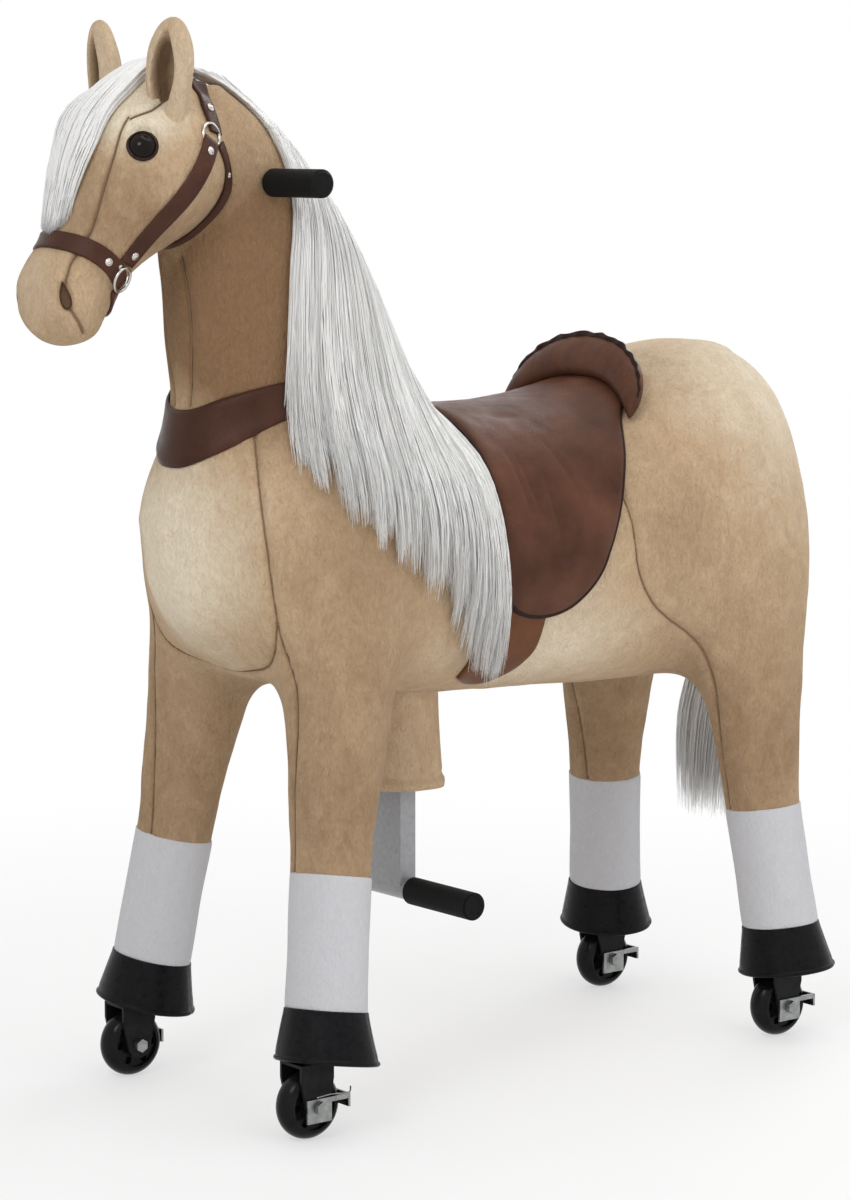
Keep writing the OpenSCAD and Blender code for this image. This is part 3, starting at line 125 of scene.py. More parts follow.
def smooth(rows, steps=8):
    """A curve through rows of numbers, as rows."""
    rows = np.asarray(rows, float)
    n, out = len(rows), []
    for i in range(n - 1):
        p0, p1, p2, p3 = rows[max(i - 1, 0)], rows[i], rows[i + 1], rows[min(i + 2, n - 1)]
        for j in range(steps):
            t = j / steps
            out.append(0.5 * (2 * p1 + (p2 - p0) * t + (2 * p0 - 5 * p1 + 4 * p2 - p3) * t * t
                              + (3 * p1 - p0 - 3 * p2 + p3) * t ** 3))
    out.append(rows[-1])
    return np.array(out)


TORSO, NECK, HEAD = smooth(TORSO), smooth(NECK), smooth(HEAD)
LEG = tuple(smooth(r) for r in LEG)


def at(rows, t):
    """The columns of a table at share t."""
    return [np.interp(t, rows[:, 0], rows[:, k]) for k in range(1, rows.shape[1])]


def unit(v):
    v = np.asarray(v, float)
    return v / np.maximum(np.linalg.norm(v, axis=-1, keepdims=True), 1e-12)


def turns(n):
    """Angles once round, in n steps."""
    return np.linspace(0, 2 * math.pi, n, endpoint=False)


def circle(u, v, n):
    """Points of a unit circle from the direction u to v."""
    a = turns(n)[:, None]
    return u * np.cos(a) + v * np.sin(a)


def across(n):
    """A direction square to n."""
    return unit(np.cross(n, [0, 0, 1.0] if abs(n[2]) < 0.9 else [1.0, 0, 0]))


def tangents(p, closed):
    return unit(np.roll(p, -1, 0) - np.roll(p, 1, 0)) if closed else unit(np.gradient(p, axis=0))


# Distances to the stuffed forms
def radial(r, rho):
    return r - r / np.maximum(rho, 1e-5)


def capped(d, t, length):
    """A form's distance, rounded off where its share t lies before 0 or past 1."""
    past = np.maximum(np.maximum(-t, t - 1), 0) * length
    return np.where(past > 0, np.hypot(np.maximum(d, 0), past), d)


def torso_at(x):
    """Height of the torso's middle at x, and its half sizes in z and y."""
    low, top, wide = at(TORSO, np.clip((x - BODY_BACK_X) / BODY_L, 0, 1))
    return BELLY_Z + BODY_D * (low + top) / 2, BODY_D * (top - low) / 2, BODY_W / 2 * wide


def torso_d(x, y, z):
    mid, hz, hy = torso_at(x)
    rho = ((np.abs(y) / hy) ** FULL + (np.abs(z - mid) / hz) ** FULL) ** (1 / FULL)
    return capped(radial(np.hypot(y, z - mid), rho), (x - BODY_BACK_X) / BODY_L, BODY_L)


def neck_d(x, y, z):
    t = (z - NECK_FOOT_Z) / NECK_H
    sweep, hx, hy = at(NECK, np.clip(t, 0, 1))
    cx, hx, hy = NECK_X + sweep * NECK_REACH, hx * NECK_L / 2, hy * NECK_W / 2
    return capped(radial(np.hypot(x - cx, y), np.hypot((x - cx) / hx, y / hy)), t, NECK_H)


FORE = np.array([math.cos(HEAD_TILT), 0, -math.sin(HEAD_TILT)])
UP = np.array([math.sin(HEAD_TILT), 0, math.cos(HEAD_TILT)])


def ball(x, y, z, c, r):
    return np.sqrt((x - c[0]) ** 2 + (y - c[1]) ** 2 + (z - c[2]) ** 2) - r


def smin(a, b, k):
    h = np.clip(0.5 + 0.5 * (b - a) / k, 0, 1)
    return b + (a - b) * h - k * h * (1 - h)


def smax(a, b, k):
    return -smin(-a, -b, k)


def head_point(s, a, grow=0.0):
    """A point of the head, at a share of its length and an angle from its left side in degrees."""
    top, low, wide = at(HEAD, s)
    c, q = math.cos(math.radians(a)), math.sin(math.radians(a))
    mid = np.array([HEAD_X, 0, HEAD_Z]) + FORE * (s - HEAD_BEHIND) * HEAD_L + UP * HEAD_D * (top + low) / 2
    return mid + np.array([0, 1, 0]) * (HEAD_W / 2 * wide + grow) * c + UP * (HEAD_D * (top - low) / 2 + grow) * q


EYE_AT = (0.367, 36)
EYE = head_point(*EYE_AT)
SOCKET = EYE + unit(EYE - head_point(*EYE_AT, -0.02)) * 0.014
SOCKET_R, SOCKET_BLEND = 0.0205, 0.008
NOSTRIL = np.array([0.496, 0.0405, 0.835])
# Cheek and brow: share and angle on the head, how far in the ball's middle lies, its radius and its blend
BULGES = ((0.31, -22, -0.048, 0.052, 0.03), (0.315, 47, -0.02, 0.0235, 0.02))


def head_d(x, y, z):
    px, pz = x - HEAD_X, z - HEAD_Z
    s = (px * FORE[0] + pz * FORE[2]) / HEAD_L + HEAD_BEHIND
    v = px * UP[0] + pz * UP[2]
    top, low, wide = at(HEAD, np.clip(s, 0, 1))
    mid, hv, hy = HEAD_D * (top + low) / 2, HEAD_D * (top - low) / 2, HEAD_W / 2 * wide
    d = capped(radial(np.hypot(y, v - mid), np.hypot(y / hy, (v - mid) / hv)), s, HEAD_L)
    ay = np.abs(y)
    for share, a, deep, r, k in BULGES:
        d = smin(d, ball(x, ay, z, head_point(share, a, deep), r), k)
    return smax(d, -ball(x, ay, z, SOCKET, SOCKET_R), SOCKET_BLEND)


NEAR_SHARE = (HOOF_H + SOCK_H) / (PIVOT_Z - SOLE_Z)
HOOF_SHARE = HOOF_H / (PIVOT_Z - SOLE_Z)
LEG_TUCK = 0.03
NECK_BLEND, HEAD_BLEND, LEG_BLEND = 0.035, 0.012, 0.055


def dot(p, v):
    return p[0] * v[0] + p[1] * v[1] + p[2] * v[2]


class Leg:
    """One leg's own frame: its line from sole to pivot, and its forward and outward directions."""

    def __init__(self, end, side):
        self.end, self.side = end, side
        self.a = np.array([AXLE_X[end], side * AXLE_Y[end], AXLE_Z])
        self.b = np.array([PIVOT_X[end], side * BOSS_Y, PIVOT_Z])
        self.up = unit(self.b - self.a)
        self.fore = unit([self.up[2], 0, -self.up[0]])
        self.out = np.cross(self.up, self.fore)
        self.foot = self.on_tube(SOLE_Z)
        self.length = (PIVOT_Z - SOLE_Z) / self.up[2]

    def on_tube(self, z):
        return self.a + (self.b - self.a) * (z - self.a[2]) / (self.b[2] - self.a[2])

    def centre(self, t):
        fx, oy = at(LEG[self.end], t)[:2]
        return self.on_tube(SOLE_Z + (PIVOT_Z - SOLE_Z) * t) + np.array([fx, self.side * oy, 0]) * LEG_D

    def ring(self, t, r, n):
        """Points of a ring round the leg, in order round it."""
        a = turns(n)
        r = np.broadcast_to(r, n)
        return self.centre(t) + self.fore * (r * np.cos(a))[:, None] + self.out * (r * np.sin(a))[:, None]

    def dist(self, x, y, z):
        p = [c - f for c, f in zip((x, y, z), self.foot)]
        t = dot(p, self.up) / self.length
        rows = LEG[self.end]
        fx, oy, hx, hy = at(rows, np.clip(t, 0, rows[-1, 0]))
        shift = (fx * LEG_D, self.side * oy * LEG_D, 0)
        q = [c - u * (t * self.length) - s for c, u, s in zip(p, self.up, shift)]
        f, o = dot(q, self.fore), dot(q, self.out)
        d = radial(np.hypot(f, o), np.hypot(f / (hx * LEG_D), o / (hy * LEG_D)))
        return np.maximum(d, np.maximum(NEAR_SHARE - LEG_TUCK - t, t - rows[-1, 0]) * self.length)


LEGS = {(e, s): Leg(e, s) for e in (0, 1) for s in SIDES}


def plush_d(x, y, z):
    """Distance to the whole stuffed skin; it is the same on both sides."""
    y = np.abs(y)
    d = smin(torso_d(x, y, z), neck_d(x, y, z), NECK_BLEND)
    d = smin(d, head_d(x, y, z), HEAD_BLEND)
    for end in (0, 1):
        d = smin(d, LEGS[end, 1].dist(x, y, z), LEG_BLEND)
    return d


def plush_at(p, dist=plush_d):
    p = np.asarray(p, float)
    return dist(p[..., 0], p[..., 1], p[..., 2])


def plush_normal(p, dist=plush_d, h=0.002):
    p = np.asarray(p, float)
    g = [plush_at(p + e, dist) - plush_at(p - e, dist) for e in np.eye(3) * h]
    return unit(np.stack(g, -1))


def on_skin(p, lift=0.0, rounds=6, dist=plush_d):
    """Points moved straight to the skin, then out of it by lift; with the skin's normals."""
    p = np.array(p, float)
    for _ in range(rounds):
        p = p - plush_normal(p, dist) * (plush_at(p, dist) * 0.9)[..., None]
    n = plush_normal(p, dist)
    return p + n * np.asarray(lift)[..., None], n


def skin_point(p, lift=0.0, dist=plush_d):
    """One point moved to the skin, with its normal."""
    p, n = on_skin(np.asarray(p)[None], np.array([lift]), dist=dist)
    return p[0], n[0]


# Meshes
def place(name, me, mat):
    """An object of a mesh, in the scene."""
    me.materials.append(mat)
    o = bpy.data.objects.new(name, me)
    bpy.context.scene.collection.objects.link(o)
    return o


def wear(o, body, slot, *nodes, fill=None):
    """Rides a piece on a body and hides the nodes that it replaces; slot and fill are not used."""
    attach(o, body)
    if nodes:
        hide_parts(*nodes)


def shares(me, **words):
    """Gives each vertex of a mesh a number under each word."""
    for word, share in words.items():
        me.attributes.new(word, "FLOAT", "POINT").data.foreach_set("value", share.astype(np.float32))


def piece(name, verts, faces, mat):
    me = bpy.data.meshes.new(name)
    me.from_pydata([tuple(v) for v in np.asarray(verts, float)], [], [tuple(int(i) for i in f) for f in faces])
    me.validate()
    bm = bmesh.new()
    bm.from_mesh(me)
    bmesh.ops.recalc_face_normals(bm, faces=bm.faces)
    bm.to_mesh(me)
    bm.free()
    me.shade_smooth()
    return place(name, me, mat)


def skin(rings, loop=False):
    """Vertices and quads over rings of points."""
    rings = np.asarray(rings, float)
    m, n = rings.shape[:2]
    ids = np.arange(m * n).reshape(m, n)
    here, there = (ids, np.roll(ids, -1, 0)) if loop else (ids[:-1], ids[1:])
    quads = np.stack([here, np.roll(here, -1, 1), np.roll(there, -1, 1), there], -1)
    faces = quads.reshape(-1, 4).tolist()
    if not loop:
        faces += [ids[0, ::-1].tolist(), ids[-1].tolist()]
    return rings.reshape(-1, 3), faces


def join(parts):
    verts, faces, base = [], [], 0
    for v, f in parts:
        verts.append(np.asarray(v, float))
        faces += [tuple(i + base for i in q) for q in f]
        base += len(v)
    return np.vstack(verts), faces


def border(grid):
    """What lies round the edge of a grid, in order."""
    return np.concatenate([grid[0, :], grid[1:, -1], grid[-1, -2::-1], grid[-2:0:-1, 0]])


def sheet_mesh(outer, inner):
    """A closed thin form from two grids of points that share their edges' order."""
    outer, inner = np.asarray(outer, float), np.asarray(inner, float)
    m, n = outer.shape[:2]
    base = m * n
    ids = np.arange(base).reshape(m, n)
    quads = np.stack([ids[:-1, :-1], ids[:-1, 1:], ids[1:, 1:], ids[1:, :-1]], -1).reshape(-1, 4)
    quads = np.stack([quads, quads[:, ::-1] + base], 1).reshape(-1, 4)
    rim = border(ids)
    after = np.roll(rim, -1)
    rims = np.column_stack([rim, base + rim, base + after, after])
    return np.vstack([outer.reshape(-1, 3), inner.reshape(-1, 3)]), np.vstack([quads, rims]).tolist()


def tube(path, radius, sides=8, closed=False):
    path = np.asarray(path, float)
    r = np.broadcast_to(radius, len(path))
    tan = tangents(path, closed)
    u = across(tan[0])
    rings = []
    for k in range(len(path)):
        u = unit(u - tan[k] * (u @ tan[k]))
        rings.append(path[k] + circle(u, np.cross(tan[k], u), sides) * r[k])
    return skin(rings, loop=closed)


def jitter(points, scale, size, seed=0.0):
    """Soft noise for each point, from -1 to 1 times size."""
    return np.array([noise.noise(Vector((p[0] * scale + seed, p[1] * scale, p[2] * scale - seed)))
                     for p in points]) * size


# Materials
def nodes_of(name):
    m = bpy.data.materials.new(name)
    m.use_nodes = True
    nt = m.node_tree
    return m, nt, nt.nodes["Principled BSDF"], nt.nodes.new("ShaderNodeTexCoord").outputs["Object"]


def feed(nt, socket, val):
    """Links a socket or sets it; colours are three numbers."""
    if isinstance(val, bpy.types.NodeSocket):
        nt.links.new(val, socket)
    else:
        socket.default_value = (*val, 1) if socket.type == "RGBA" else val


def put(nt, node, **values):
    """Feeds a node's inputs by name, with an underscore for a space."""
    for word, val in values.items():
        feed(nt, node.inputs[word.replace("_", " ")], val)
    return node


def new(nt, kind, **values):
    return put(nt, nt.nodes.new("ShaderNode" + kind), **values)


def tex(nt, where, scale, detail=3.0, rough=0.55, stretch=None, twist=0.0):
    if stretch:
        where = new(nt, "Mapping", Scale=stretch, Vector=where).outputs["Vector"]
    n = new(nt, "TexNoise", Distortion=twist, Scale=scale, Detail=detail, Roughness=rough, Vector=where)
    return n.outputs["Fac"]


def ramp(nt, fac, stops):
    r = new(nt, "ValToRGB", Fac=fac)
    while len(r.color_ramp.elements) < len(stops):
        r.color_ramp.elements.new(0.5)
    for e, (pos, col) in zip(r.color_ramp.elements, stops):
        e.position = pos
        e.color = (col, col, col, 1) if np.isscalar(col) else (*col, 1)
    return r.outputs["Color"]


def mix(nt, fac, a, b, kind="MIX"):
    m = new(nt, "Mix")
    m.data_type = "RGBA"
    m.blend_type = kind
    put(nt, m, Factor=fac, A=a, B=b)
    return next(out for out in m.outputs if out.type == "RGBA")


def math_node(nt, op, *values):
    m = new(nt, "Math")
    m.operation = op
    for socket, val in zip(m.inputs, values):
        feed(nt, socket, val)
    return m.outputs[0]


def weighted(nt, *terms):
    """The sum of values, each times its weight."""
    first, *rest = (math_node(nt, "MULTIPLY", val, weight) for val, weight in terms)
    for term in rest:
        first = math_node(nt, "ADD", first, term)
    return first


def bump(nt, bsdf, height, strength, distance):
    b = new(nt, "Bump", Strength=strength, Distance=distance, Height=height)
    put(nt, bsdf, Normal=b.outputs["Normal"])


def mask_of(nt, name):
    a = new(nt, "Attribute")
    a.attribute_name = name
    return a.outputs["Fac"]


def plush_material(name, dark, mid, light, mask=True, spread=0.35, grain=0.55):
    m, nt, b, where = nodes_of(name)
    patch = tex(nt, where, 7.0, 5.0, 0.62, None, 0.6)
    nap = tex(nt, where, 34.0, 4.0, 0.62, (1.0, 1.0, 0.7), 1.4)
    curl = tex(nt, where, 115.0, 3.0, 0.6, (1.0, 1.0, 0.6), 2.2)
    fuzz = tex(nt, where, 330.0, 3.0, 0.65, (1.0, 1.0, 0.5), 0.8)
    tone = math_node(nt, "MULTIPLY_ADD", patch, spread, 0.5 - spread / 2)
    if mask:
        # the tone share: the nap's tone, with painted shade on the neck, low on the legs and inside the ears
        tone = math_node(nt, "ADD", tone, math_node(nt, "SUBTRACT", mask_of(nt, "tone"), 0.5))
    tone = math_node(nt, "ADD", tone, math_node(nt, "MULTIPLY_ADD", nap, spread * 0.9, -0.45 * spread))
    col = ramp(nt, tone, [(0.1, dark), (0.5, mid), (0.9, light)])
    col = mix(nt, grain, col, ramp(nt, fuzz, [(0.3, 0.74), (0.6, 1.0)]), "MULTIPLY")
    col = mix(nt, grain * 0.75, col, ramp(nt, curl, [(0.36, 0.82), (0.58, 1.0)]), "MULTIPLY")
    if mask:
        # the dark share is painted shade: along the sewn grooves and inside the ears' folds
        col = mix(nt, mask_of(nt, "dark"), col, (0.085, 0.045, 0.024))
    put(nt, b, Base_Color=col, Roughness=0.95, Specular_IOR_Level=0.08, Sheen_Weight=0.22, Sheen_Roughness=0.45,
        Sheen_Tint=light)
    bump(nt, b, weighted(nt, (nap, 0.55), (fuzz, 0.6), (curl, 0.5)), 0.30 + grain, 0.004)
    return m


def hair_material(name, dark, light):
    m, nt, b, where = nodes_of(name)
    lock = tex(nt, where, 60.0, 3.0, 0.6, (1.0, 1.0, 0.12))
    fine = tex(nt, where, 520.0, 2.0, 0.6, (1.0, 1.0, 0.05))
    col = ramp(nt, lock, [(0.28, dark), (0.6, light)])
    col = mix(nt, 0.30, col, ramp(nt, fine, [(0.3, 0.84), (0.65, 1.0)]), "MULTIPLY")
    put(nt, b, Base_Color=col, Roughness=0.42, Specular_IOR_Level=0.35, Sheen_Weight=0.25)
    bump(nt, b, fine, 0.5, 0.0008)
    return m


def leather_material(name, dark, mid, light, rough=0.42):
    m, nt, b, where = nodes_of(name)
    patch = tex(nt, where, 14.0, 4.0, 0.6)
    scuff = tex(nt, where, 55.0, 3.0, 0.6)
    v = new(nt, "TexVoronoi", Scale=620.0, Vector=where)
    col = ramp(nt, patch, [(0.3, dark), (0.55, mid), (0.8, light)])
    col = mix(nt, 0.35, col, ramp(nt, scuff, [(0.3, 0.7), (0.7, 1.0)]), "MULTIPLY")
    put(nt, b, Base_Color=col, Roughness=ramp(nt, scuff, [(0.3, rough - 0.06), (0.7, rough + 0.1)]),
        Specular_IOR_Level=0.10, Coat_Weight=0.02, Coat_Roughness=0.35)
    bump(nt, b, weighted(nt, (v.outputs["Distance"], 0.8), (scuff, 0.7)), 0.35, 0.0009)
    return m


def hard_material(name, dark, light, rough, metal=0.0, scale=90.0, grain=0.25, spread=0.12, gloss=0.5, stretch=None):
    m, nt, b, where = nodes_of(name)
    n1 = tex(nt, where, scale, 4.0, 0.6, stretch)
    n2 = tex(nt, where, scale * 9, 2.0, 0.6, stretch)
    put(nt, b, Base_Color=ramp(nt, n1, [(0.3, dark), (0.7, light)]), Metallic=metal, Specular_IOR_Level=gloss,
        Roughness=ramp(nt, n1, [(0.3, max(rough - spread, 0.04)), (0.75, rough + spread)]))
    bump(nt, b, n2, grain, 0.0004)
    return m


TAN = plush_material("plush_tan_mat", (0.27, 0.160, 0.085), (0.58, 0.412, 0.258), (0.85, 0.735, 0.565))
WHITE = plush_material("plush_white_mat", (0.56, 0.56, 0.585), (0.60, 0.60, 0.625),
                       (0.64, 0.64, 0.665), False, 0.2, 0.2)
HAIR = hair_material("hair_white_mat", (0.83, 0.825, 0.81), (0.92, 0.915, 0.90))
# the tail's hair is the mane's white hair made paler to offset the shade the tail lies in: painted light
TAIL_HAIR_BRIGHTENED = hair_material("hair_tail_brightened_mat", (0.92, 0.915, 0.90), (0.96, 0.955, 0.94))
LEATHER = leather_material("leather_saddle_mat", (0.065, 0.026, 0.015), (0.105, 0.043, 0.025),
                           (0.155, 0.066, 0.04), 0.34)
LEATHER_LIGHT = leather_material("leather_light_mat", (0.12, 0.047, 0.02), (0.165, 0.066, 0.03),
                                 (0.22, 0.095, 0.045), 0.38)
LEATHER_DARK = leather_material("leather_dark_mat", (0.048, 0.02, 0.012), (0.072, 0.03, 0.019),
                                (0.11, 0.047, 0.03), 0.32)
HOOF = hard_material("hoof_black_mat", (0.004, 0.004, 0.005), (0.009, 0.009, 0.010), 0.34, scale=140,
                     grain=0.3, gloss=0.09)
FOAM = hard_material("foam_black_mat", (0.007, 0.007, 0.007), (0.016, 0.016, 0.016), 0.6, scale=420,
                     grain=0.9, gloss=0.06)
WHEEL = hard_material("wheel_black_mat", (0.004, 0.004, 0.005), (0.010, 0.010, 0.011), 0.20, scale=70, grain=0.1,
                      spread=0.06, gloss=0.12)
STEEL_BLACK = hard_material("steel_black_mat", (0.007, 0.007, 0.008), (0.016, 0.016, 0.018), 0.38,
                            scale=120, gloss=0.10)
STEEL_GREY = hard_material("steel_grey_mat", (0.31, 0.315, 0.33), (0.40, 0.405, 0.42), 0.38, scale=160, grain=0.2)
ZINC = hard_material("zinc_mat", (0.22, 0.23, 0.225), (0.40, 0.41, 0.40), 0.36, metal=1.0, scale=130)
BRIGHT = hard_material("ring_steel_mat", (0.46, 0.43, 0.40), (0.70, 0.67, 0.63), 0.2, metal=1.0, scale=110, grain=0.12)
NYLON = hard_material("nylon_mat", (0.62, 0.61, 0.58), (0.72, 0.71, 0.68), 0.45)
PLY = hard_material("plywood_mat", (0.42, 0.27, 0.14), (0.62, 0.43, 0.25), 0.6, scale=22, grain=0.4,
                    stretch=(0.15, 1, 1))
EYE_DARK = hard_material("eye_mat", (0.003, 0.002, 0.002), (0.012, 0.005, 0.003), 0.06, scale=60, grain=0.0,
                         spread=0.02, gloss=0.16)
EDGE = leather_material("leather_edge_mat", (0.016, 0.007, 0.005), (0.026, 0.012, 0.008), (0.042, 0.019, 0.012), 0.4)
EYE_RIM = hard_material("eye_rim_mat", (0.016, 0.009, 0.006), (0.034, 0.018, 0.012), 0.3, scale=200,
                        grain=0.2, gloss=0.15)
NOSE = plush_material("nostril_mat", (0.10, 0.055, 0.03), (0.155, 0.09, 0.055), (0.21, 0.13, 0.085), False)
THREAD = hard_material("thread_mat", (0.05, 0.027, 0.015), (0.10, 0.055, 0.03), 0.8, scale=600, grain=0.6, gloss=0.05)
# the seam cords' colour is the tan plush in shade: painted shade along the sewn grooves
SEAM_SHADE = hard_material("seam_shade_mat", (0.20, 0.122, 0.070), (0.31, 0.200, 0.122), 0.9, scale=500, grain=0.6, gloss=0.03)

slot_mats = {
    "steel_painted_grey": STEEL_GREY, "plywood": PLY, "zinc_steel": ZINC, "nylon_white": NYLON,
    "foam_black": FOAM, "eye_gloss": EYE_DARK, "hoof_black": HOOF, "steel_black": STEEL_BLACK,
    "wheel_black": WHEEL, "bearing_steel": BRIGHT, "pawl_zinc": ZINC}
for row in frame["record"]["subparts"]:
    mat = BRIGHT if row["node"] == "halter_rings" else slot_mats.get(row["material_slot"])
    if mat:
        o = frame["nodes"][row["node"]]
        o.data.materials.clear()
        o.data.materials.append(mat)

# Sewn seams of the skin: points on its left side; the right side has them too
SEAM_STEPS = 24
SEAMS = {
    "front": [
        [(0.293, 0.064, 0.706), (0.297, 0.072, 0.688), (0.304, 0.088, 0.65), (0.312, 0.107, 0.603),
         (0.307, 0.111, 0.554), (0.302, 0.112, 0.519), (0.296, 0.112, 0.494), (0.29, 0.118, 0.469),
         (0.287, 0.124, 0.444), (0.286, 0.125, 0.414), (0.287, 0.123, 0.374), (0.289, 0.123, 0.334),
         (0.29, 0.125, 0.285), (0.291, 0.127, 0.25)],
        [(0.301, 0.112, 0.514), (0.3005, 0.107, 0.494), (0.298, 0.099, 0.477), (0.292, 0.083, 0.463),
         (0.284, 0.056, 0.453), (0.276, 0.022, 0.447), (0.274, 0.0, 0.446)]],
    "rear": [
        [(-0.12, 0.15, 0.63), (-0.133, 0.149, 0.586), (-0.142, 0.152, 0.533), (-0.163, 0.148, 0.499),
         (-0.192, 0.141, 0.477), (-0.233, 0.131, 0.454), (-0.259, 0.127, 0.43), (-0.278, 0.123, 0.389),
         (-0.29, 0.118, 0.332), (-0.298, 0.116, 0.25)]],
    "head": [
        [(0.337, 0.014, 0.72), (0.334, 0.016, 0.746), (0.337, 0.021, 0.786), (0.341, 0.022, 0.825),
         (0.344, 0.02, 0.85), (0.346, 0.018, 0.868)],
        [(0.427, 0.048, 1.006), (0.435, 0.047, 0.991), (0.444, 0.045, 0.963), (0.454, 0.044, 0.935),
         (0.464, 0.041, 0.901), (0.474, 0.038, 0.884), (0.486, 0.036, 0.866), (0.492, 0.038, 0.854),
         (0.4965, 0.039, 0.845)],
        [(0.385, 0.05, 1.022), (0.406, 0.055, 1.01), (0.427, 0.05, 1.003)],
        [(0.494, 0.044, 0.822), (0.484, 0.044, 0.81), (0.473, 0.037, 0.797)]]}
SEAM_POINTS = np.vstack([on_skin(smooth(pts, SEAM_STEPS))[0] for rows in SEAMS.values() for pts in rows])
SEAM_POINTS = np.vstack([SEAM_POINTS, SEAM_POINTS * [1, -1, 1]])
seam_tree = kdtree.KDTree(len(SEAM_POINTS))
for k, p in enumerate(SEAM_POINTS):
    seam_tree.insert(Vector(p), k)
seam_tree.balance()


# The stuffed skin as one surface
def quads_of(d, h, low):
    """Points and quads where distances on a grid of step h, which starts at low, are nought."""
    grid = openvdb.FloatGrid()
    grid.background = 0.05
    grid.copyFromArray(np.ascontiguousarray(d))
    grid.transform = openvdb.createLinearTransform(voxelSize=h)
    pts, quads = grid.convertToQuads(0.0)
    return np.asarray(pts, float) + low, np.asarray(quads)


def surface(xs, half, zs, h):
    """The skin inside a box; the right half's distances are the left half's."""
    x, z = (np.arange(*ends, h, dtype=np.float32) for ends in (xs, zs))
    y = np.arange(math.ceil(half / h) + 1, dtype=np.float32) * h
    d = plush_d(*np.meshgrid(x, y, z, indexing="ij", sparse=True))
    d = np.broadcast_to(d, (len(x), len(y), len(z))).astype(np.float32)
    return quads_of(np.concatenate([d[:, :0:-1], d], axis=1), h, [x[0], -y[-1], z[0]])


def normals_of(v, q):
    n = np.cross(v[q[:, 2]] - v[q[:, 0]], v[q[:, 3]] - v[q[:, 1]])
    out = np.zeros_like(v)
    for k in range(4):
        np.add.at(out, q[:, k], n)
    return unit(out)


# Paler and darker places of the nap, and painted shade on the neck under the head and low on the legs: x, distance
# from the middle, z, radius and share
NAP_AND_SHADE = [
    (0.34, 0.0, 0.59, 0.1, 0.55), (0.32, 0.0, 0.5, 0.07, 0.2), (-0.37, 0.05, 0.71, 0.13, 0.42),
    (-0.3, 0.1, 0.66, 0.1, 0.1), (-0.06, 0.13, 0.45, 0.1, 0.35), (0.41, 0.0, 1.02, 0.055, 0.6),
    (0.41, 0.05, 1.01, 0.035, 0.6), (-0.2, 0.15, 0.57, 0.06, -0.08), (0.3, 0.07, 0.8, 0.09, -0.78),
    (0.26, 0.1, 0.86, 0.08, -0.35), (-0.3, 0.13, 0.34, 0.11, -0.2), (0.27, 0.12, 0.32, 0.13, -0.16),
    (0.23, 0.15, 0.53, 0.09, -0.12), (0.48, 0.05, 0.82, 0.03, 0.06), (0.49, 0.0, 0.85, 0.04, 0.25),
    (0.43, 0.06, 0.92, 0.05, -0.18), (0.44, 0.0, 0.88, 0.03, -0.1), (-0.44, 0.05, 0.52, 0.1, 0.12),
    (0.1, 0.14, 0.5, 0.1, 0.1), (0.38, 0.06, 0.94, 0.03, 0.2)]
TONE = 0.42
GROOVE_W, GROOVE_D = 0.0030, 0.0026
PUFF_AT, PUFF_W, PUFF_H = 0.010, 0.006, 0.0010
# width and strength of the painted shade along the sewn grooves
GROOVE_SHADE_W, GROOVE_SHADE = 0.0018, 0.26
PIT_SIZE, PIT_D = [0.010, 0.010, 0.017], 0.004
SOCK_TOP, SOCK_FADE = 0.264, 0.03


def dress(v):
    """Stuffing dimples, sewn grooves and nostrils on the skin; returns points, the share of painted shade along the
    grooves, and the tone share with its painted shade.
    """
    n = plush_normal(v)
    near = np.array([seam_tree.find(Vector(p))[2] for p in v])
    groove = np.exp(-(near / GROOVE_W) ** 2)
    puff = np.exp(-((near - PUFF_AT) / PUFF_W) ** 2)
    lumps = jitter(v, 15.0, 0.0015) + jitter(v, 44.0, 0.0006, 3.1)
    lumps = lumps * np.clip((v[:, 2] - SOCK_TOP) / SOCK_FADE, 0, 1)
    move = lumps * (1 - groove) - GROOVE_D * groove + PUFF_H * puff
    # painted shade along the sewn grooves
    dark = GROOVE_SHADE * np.exp(-(near / GROOVE_SHADE_W) ** 2)
    a = v * [1, 0, 1] + np.abs(v) * [0, 1, 0]
    pit = np.clip(1.2 - np.linalg.norm((a - NOSTRIL) / PIT_SIZE, axis=1), 0, 1)
    move = move - PIT_D * pit * pit * (3 - 2 * pit)
    tone = np.full(len(v), TONE)
    # each place adds to the tone; the darker ones on the neck and low on the legs are painted shade
    for x, y, z, r, share in NAP_AND_SHADE:
        tone += share * np.exp(-(np.linalg.norm(a - [x, y, z], axis=1) / r) ** 2)
    return v + n * move[:, None], dark, tone


# Planes between the skin's pieces: a point, the normal and how far past it the skin bends
FRONT_CUT = (Vector((0.13, 0, 0.40)), Vector((0.555, 0, -0.832)), 0.135)
REAR_CUT = (Vector((-0.215, 0, 0.40)), Vector((-0.56, 0, -0.829)), 0.15)
HEAD_CUT = (Vector((0.36, 0, 0.90)), Vector((0.981, 0, 0.194)), 0)


def dressed(*box):
    """The skin inside a box as a bmesh, with its shares and the normals of the uncut skin."""
    v, q = surface(*box)
    v, dark, tone = dress(v)
    n = normals_of(v, q)
    if np.mean(np.einsum("ij,ij->i", n, plush_normal(v))) < 0:
        q, n = q[:, ::-1], -n
    me = bpy.data.meshes.new("skin")
    me.from_pydata(v.tolist(), [], q.tolist())
    shares(me, dark=dark, tone=tone)
    a = me.attributes.new("turned", "FLOAT_VECTOR", "POINT")
    a.data.foreach_set("vector", n.astype(np.float32).ravel())
    bm = bmesh.new()
    bm.from_mesh(me)
    bpy.data.meshes.remove(me)
    return bm


